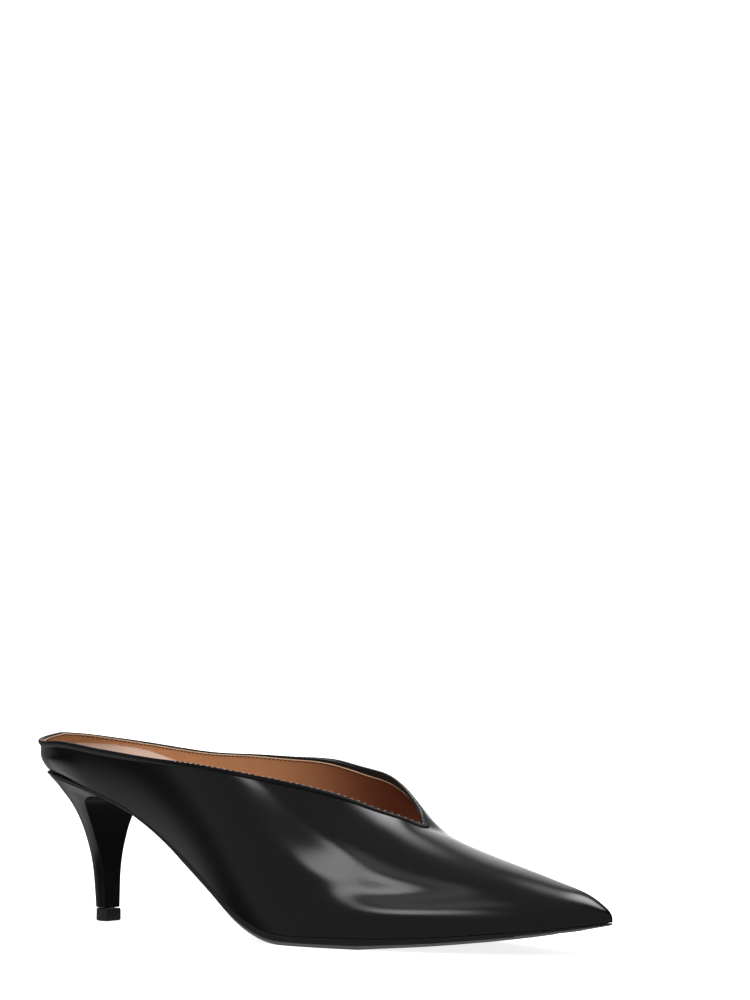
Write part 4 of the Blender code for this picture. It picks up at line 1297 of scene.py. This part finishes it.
def d_outline(back, breast, half_width, fullness, count):
    """Half-round back and flat breast: (reach, sideways) pairs."""
    turn = math.pi * (np.arange(count + 1) / count - 0.5)
    reach = breast - (breast - back) * np.abs(np.cos(turn)) ** (2.0 / fullness)
    side = np.sign(turn) * np.abs(np.sin(turn)) ** (2.0 / fullness) * half_width
    flat = np.linspace(1.0, -1.0, 15)[1:-1]
    return (np.concatenate([reach, np.full(len(flat), breast)]),
            np.concatenate([side, flat * half_width]))


def stack_grids(skin, cap_rows):
    """Grids of a stack of closed outlines, with a flat cap on each end."""
    grids = [skin]
    for row in (0, -1):
        mix = np.linspace(0.0, 1.0, cap_rows)[:, None, None]
        grids.append(skin[row] * (1.0 - mix) + skin[row].mean(axis=0) * mix)
    return [(np.concatenate([grid, grid[:, :1]], axis=1), False) for grid in grids]


levels = np.concatenate([np.linspace(HEEL[0][0], 0.86, 34), np.linspace(0.86, 1.0, 24)[1:]])
rings = []
for level in levels:
    back, breast, half_width, fullness = heel_curve(level)[0]
    reach, side = d_outline(back * LAST_LENGTH, breast * LAST_LENGTH, half_width * BALL_WIDTH, fullness, 60)
    height = level * (seat_height(reach) - 0.1 * MM)
    rings.append(np.column_stack([side, -reach, height]))
mesh = sheet_mesh("covered_heel", stack_grids(np.array(rings), 3), 0.01 * MM)
outwards(mesh)
heel = add_piece("covered_heel", mesh, heel_calf, 45.0)
rounding = heel.modifiers.new("skived edges", "BEVEL")
rounding.width = 0.28 * MM
rounding.segments = 3
rounding.limit_method = "ANGLE"
rounding.angle_limit = math.radians(40.0)
settle(heel)
hand_over(heel, "heel_cover", "heel")

# %% [markdown]
# ## Top lift
#
# The lift is the small rubber pad that meets the floor and is replaced when it
# wears. It has the heel's own D outline and is stacked in the same way, with
# its moulded edges eased at the floor and under the heel.

# %% Top lift
LIFT_BACK, LIFT_HALF = 20.7 * MM, 4.1 * MM
LIFT_EDGE = [(0.45, 0.0), (0.12, 0.18), (0.0, 0.5), (0.0, 4.3), (0.10, 4.75), (0.35, 4.98)]
reach, side = d_outline(LIFT_BACK, LIFT_BREAST, LIFT_HALF, 2.3, 60)
centre = np.array([0.0, -0.5 * (LIFT_BACK + LIFT_BREAST)])
rings = []
for inset, height in LIFT_EDGE:
    plan = np.column_stack([side, -reach])
    plan = centre + (plan - centre) * (1.0 - inset * MM / LIFT_HALF)
    rings.append(np.column_stack([plan, np.full(len(plan), height * MM)]))
mesh = sheet_mesh("rubber_lift", stack_grids(np.array(rings), 2), 0.001 * MM)
outwards(mesh)
lift = add_piece("rubber_lift", mesh, lift_rubber, 30.0)
hand_over(lift, "lift_rubber", "top_lift")

# %% [markdown]
# ## Camera
#
# The shoe is seen from between its lateral side and its toe, with the lens a few
# centimetres above the floor. A longish lens from 0.8 m away keeps the pointed
# toe from looking stretched, as a wide lens close by would make it.

# %% Camera
HEADING, TILT = 0.661, 0.107    # radians: on the floor from +X towards +Y, and upwards
camera_data = bpy.data.cameras.new("camera")
camera_data.lens = 77.36
camera_data.clip_start = 0.01
camera = bpy.data.objects.new("camera", camera_data)
camera.location = (-0.63093, -0.52549, 0.07634)
camera.rotation_euler = (0.5 * math.pi + TILT, 0.0, HEADING - 0.5 * math.pi)
bpy.context.scene.collection.objects.link(camera)
bpy.context.scene.camera = camera
print("camera stands", round(camera.location.length, 2), "m from the middle of the shoe")

# %% [markdown]
# ## Floor and backdrop
#
# Shoes are shown on white paper that gives no horizon. Two plain white sheets
# do it, a floor and an upright backdrop, which glow a little so that they stay
# white without stronger lamps. The calf would mirror them as grey haze, so
# they are left out of its reflections, which the studio round it gives instead.

# %% Floor and backdrop
white, tree = new_material("white studio paper")
paper = add_node(tree, "ShaderNodeBsdfPrincipled", {
    "Base Color": linear("#f4f4f4"), "Roughness": 0.9, "Specular IOR Level": 0.1,
    "Emission Color": (1.0, 1.0, 1.0, 1.0), "Emission Strength": 0.8})
add_node(tree, "ShaderNodeOutputMaterial", {"Surface": paper.outputs["BSDF"]})


def paper_sheet(name, corners):
    """One flat sheet of the paper."""
    mesh = bpy.data.meshes.new(name)
    mesh.from_pydata(corners, [], [(0, 1, 2, 3)])
    mesh.materials.append(white)
    sheet = bpy.data.objects.new(name, mesh)
    bpy.context.scene.collection.objects.link(sheet)
    return sheet


FLOOR_HALF, BACKDROP_AWAY, BACKDROP_HALF = 6.0, 2.2, 3.0
ahead = np.array([math.cos(HEADING), math.sin(HEADING)])
right = np.array([math.sin(HEADING), -math.cos(HEADING)])
floor = paper_sheet("floor", [(x * FLOOR_HALF, y * FLOOR_HALF, 0.0)
                              for x, y in ((-1, -1), (1, -1), (1, 1), (-1, 1))])
corners = []
for side, height in ((-1, -0.01), (1, -0.01), (1, BACKDROP_HALF), (-1, BACKDROP_HALF)):
    spot = ahead * BACKDROP_AWAY + right * side * BACKDROP_HALF
    corners.append((spot[0], spot[1], height))
backdrop = paper_sheet("backdrop", corners)
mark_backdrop(floor, backdrop)
floor.visible_glossy = False
backdrop.visible_glossy = False
print("floor", 2 * FLOOR_HALF, "m wide, backdrop", BACKDROP_AWAY, "m behind the shoe")

# %% [markdown]
# ## Fill light
#
# One large soft lamp from above and behind opens the tan lining, which would
# otherwise sink into shade. A stronger surround could do that too, but it would
# grey the calf. The lamp is kept out of the reflections instead.

# %% Fill light
fill_data = bpy.data.lights.new("fill", "AREA")
fill_data.size = 0.8
fill_data.energy = 10.0
fill = bpy.data.objects.new("fill", fill_data)
fill.location = (-0.30, 0.55, 1.15)
aim = Vector((0.0, 0.05, 0.05)) - fill.location
fill.rotation_euler = aim.to_track_quat("-Z", "Y").to_euler()
fill.visible_glossy = False
bpy.context.scene.collection.objects.link(fill)
print("fill lamp:", round(fill_data.size, 2), "m wide,", fill_data.energy, "W")

# %% [markdown]
# ## The studio round the shoe
#
# Black polished calf shows little but its surroundings, so its highlights are
# the studio's screens, mirrored and bent by the leather. Real screens would be
# area lamps, but those have hard edges and cost noise. Here the world itself is
# the studio: soft round patches of light, each in its own direction, a tall
# bright strip behind the shoe, and dark flags that keep the calf black between.

# %% Studio
# Direction (turn clockwise from straight behind the shoe, height above the floor), half-width
# and soft edge, all in degrees, and brightness. A flag has a brightness below 0.
AMBIENT = 0.27
PATCHES = [
    ((50.0, 67.0), 9.0, 9.5, 6.8),      # screen overhead
    ((-130.0, 48.0), 5.5, 5.0, 5.0),    # screen high on the left, in front
    ((-115.0, 65.0), 7.0, 5.0, 0.8),    # faint glow above that screen
    ((-60.0, -45.0), 25.0, 9.0, 0.8)]   # light thrown back by the floor
# The bright strip behind the shoe, a tall flag on the right, and a flag low on the left.
PATCHES += [((1.3, height), 3.0, 12.0, 1.2) for height in (-6.0, 6.0, 18.0, 30.0, 42.0)]
PATCHES += [((72.0, height), 22.0, 12.0, -0.2) for height in (0.0, 30.0, 60.0)]
PATCHES += [((-82.0, -26.0), 20.0, 6.0, -0.24)]


def direction(turn, height):
    """Unit vector at a turn clockwise from straight behind the shoe, and a height."""
    turn, height = math.radians(turn), math.radians(height)
    flat = ahead * math.cos(turn) + right * math.sin(turn)
    return (flat[0] * math.cos(height), flat[1] * math.cos(height), math.sin(height))


world = bpy.data.worlds.new("studio")
world.use_nodes = True
tree = world.node_tree
tree.nodes.clear()
looking = add_node(tree, "ShaderNodeTexCoord").outputs["Generated"]
total = AMBIENT
for centre, half, soft, strength in PATCHES:
    facing = add_node(tree, "ShaderNodeVectorMath", {0: looking, 1: direction(*centre)},
                      operation="DOT_PRODUCT")
    patch = add_node(tree, "ShaderNodeMapRange", {
        "Value": facing.outputs["Value"], "From Min": math.cos(math.radians(half + soft)),
        "From Max": math.cos(math.radians(max(half - soft, 0.0))), "To Min": 0.0, "To Max": strength},
        interpolation_type="SMOOTHSTEP")
    total = add_node(tree, "ShaderNodeMath", {0: total, 1: patch.outputs["Result"]},
                     operation="ADD").outputs["Value"]
lit = add_node(tree, "ShaderNodeMath", {0: total, 1: 0.0}, operation="MAXIMUM").outputs["Value"]
glow = add_node(tree, "ShaderNodeBackground", {"Color": (1.0, 1.0, 1.0, 1.0), "Strength": lit})
add_node(tree, "ShaderNodeOutputWorld", {"Surface": glow.outputs["Background"]})
bpy.context.scene.world = world
bpy.context.scene.view_settings.view_transform = "Standard"
print("patches of light and shade round the shoe:", len(PATCHES))

# %% [markdown]
# ## Visual box
#
# The box round every shown piece but floor and backdrop is printed in millimetres.

# %% Visual box
low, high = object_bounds()
print("visual box, mm:", [round((b - a) / MM, 1) for a, b in zip(low, high)])
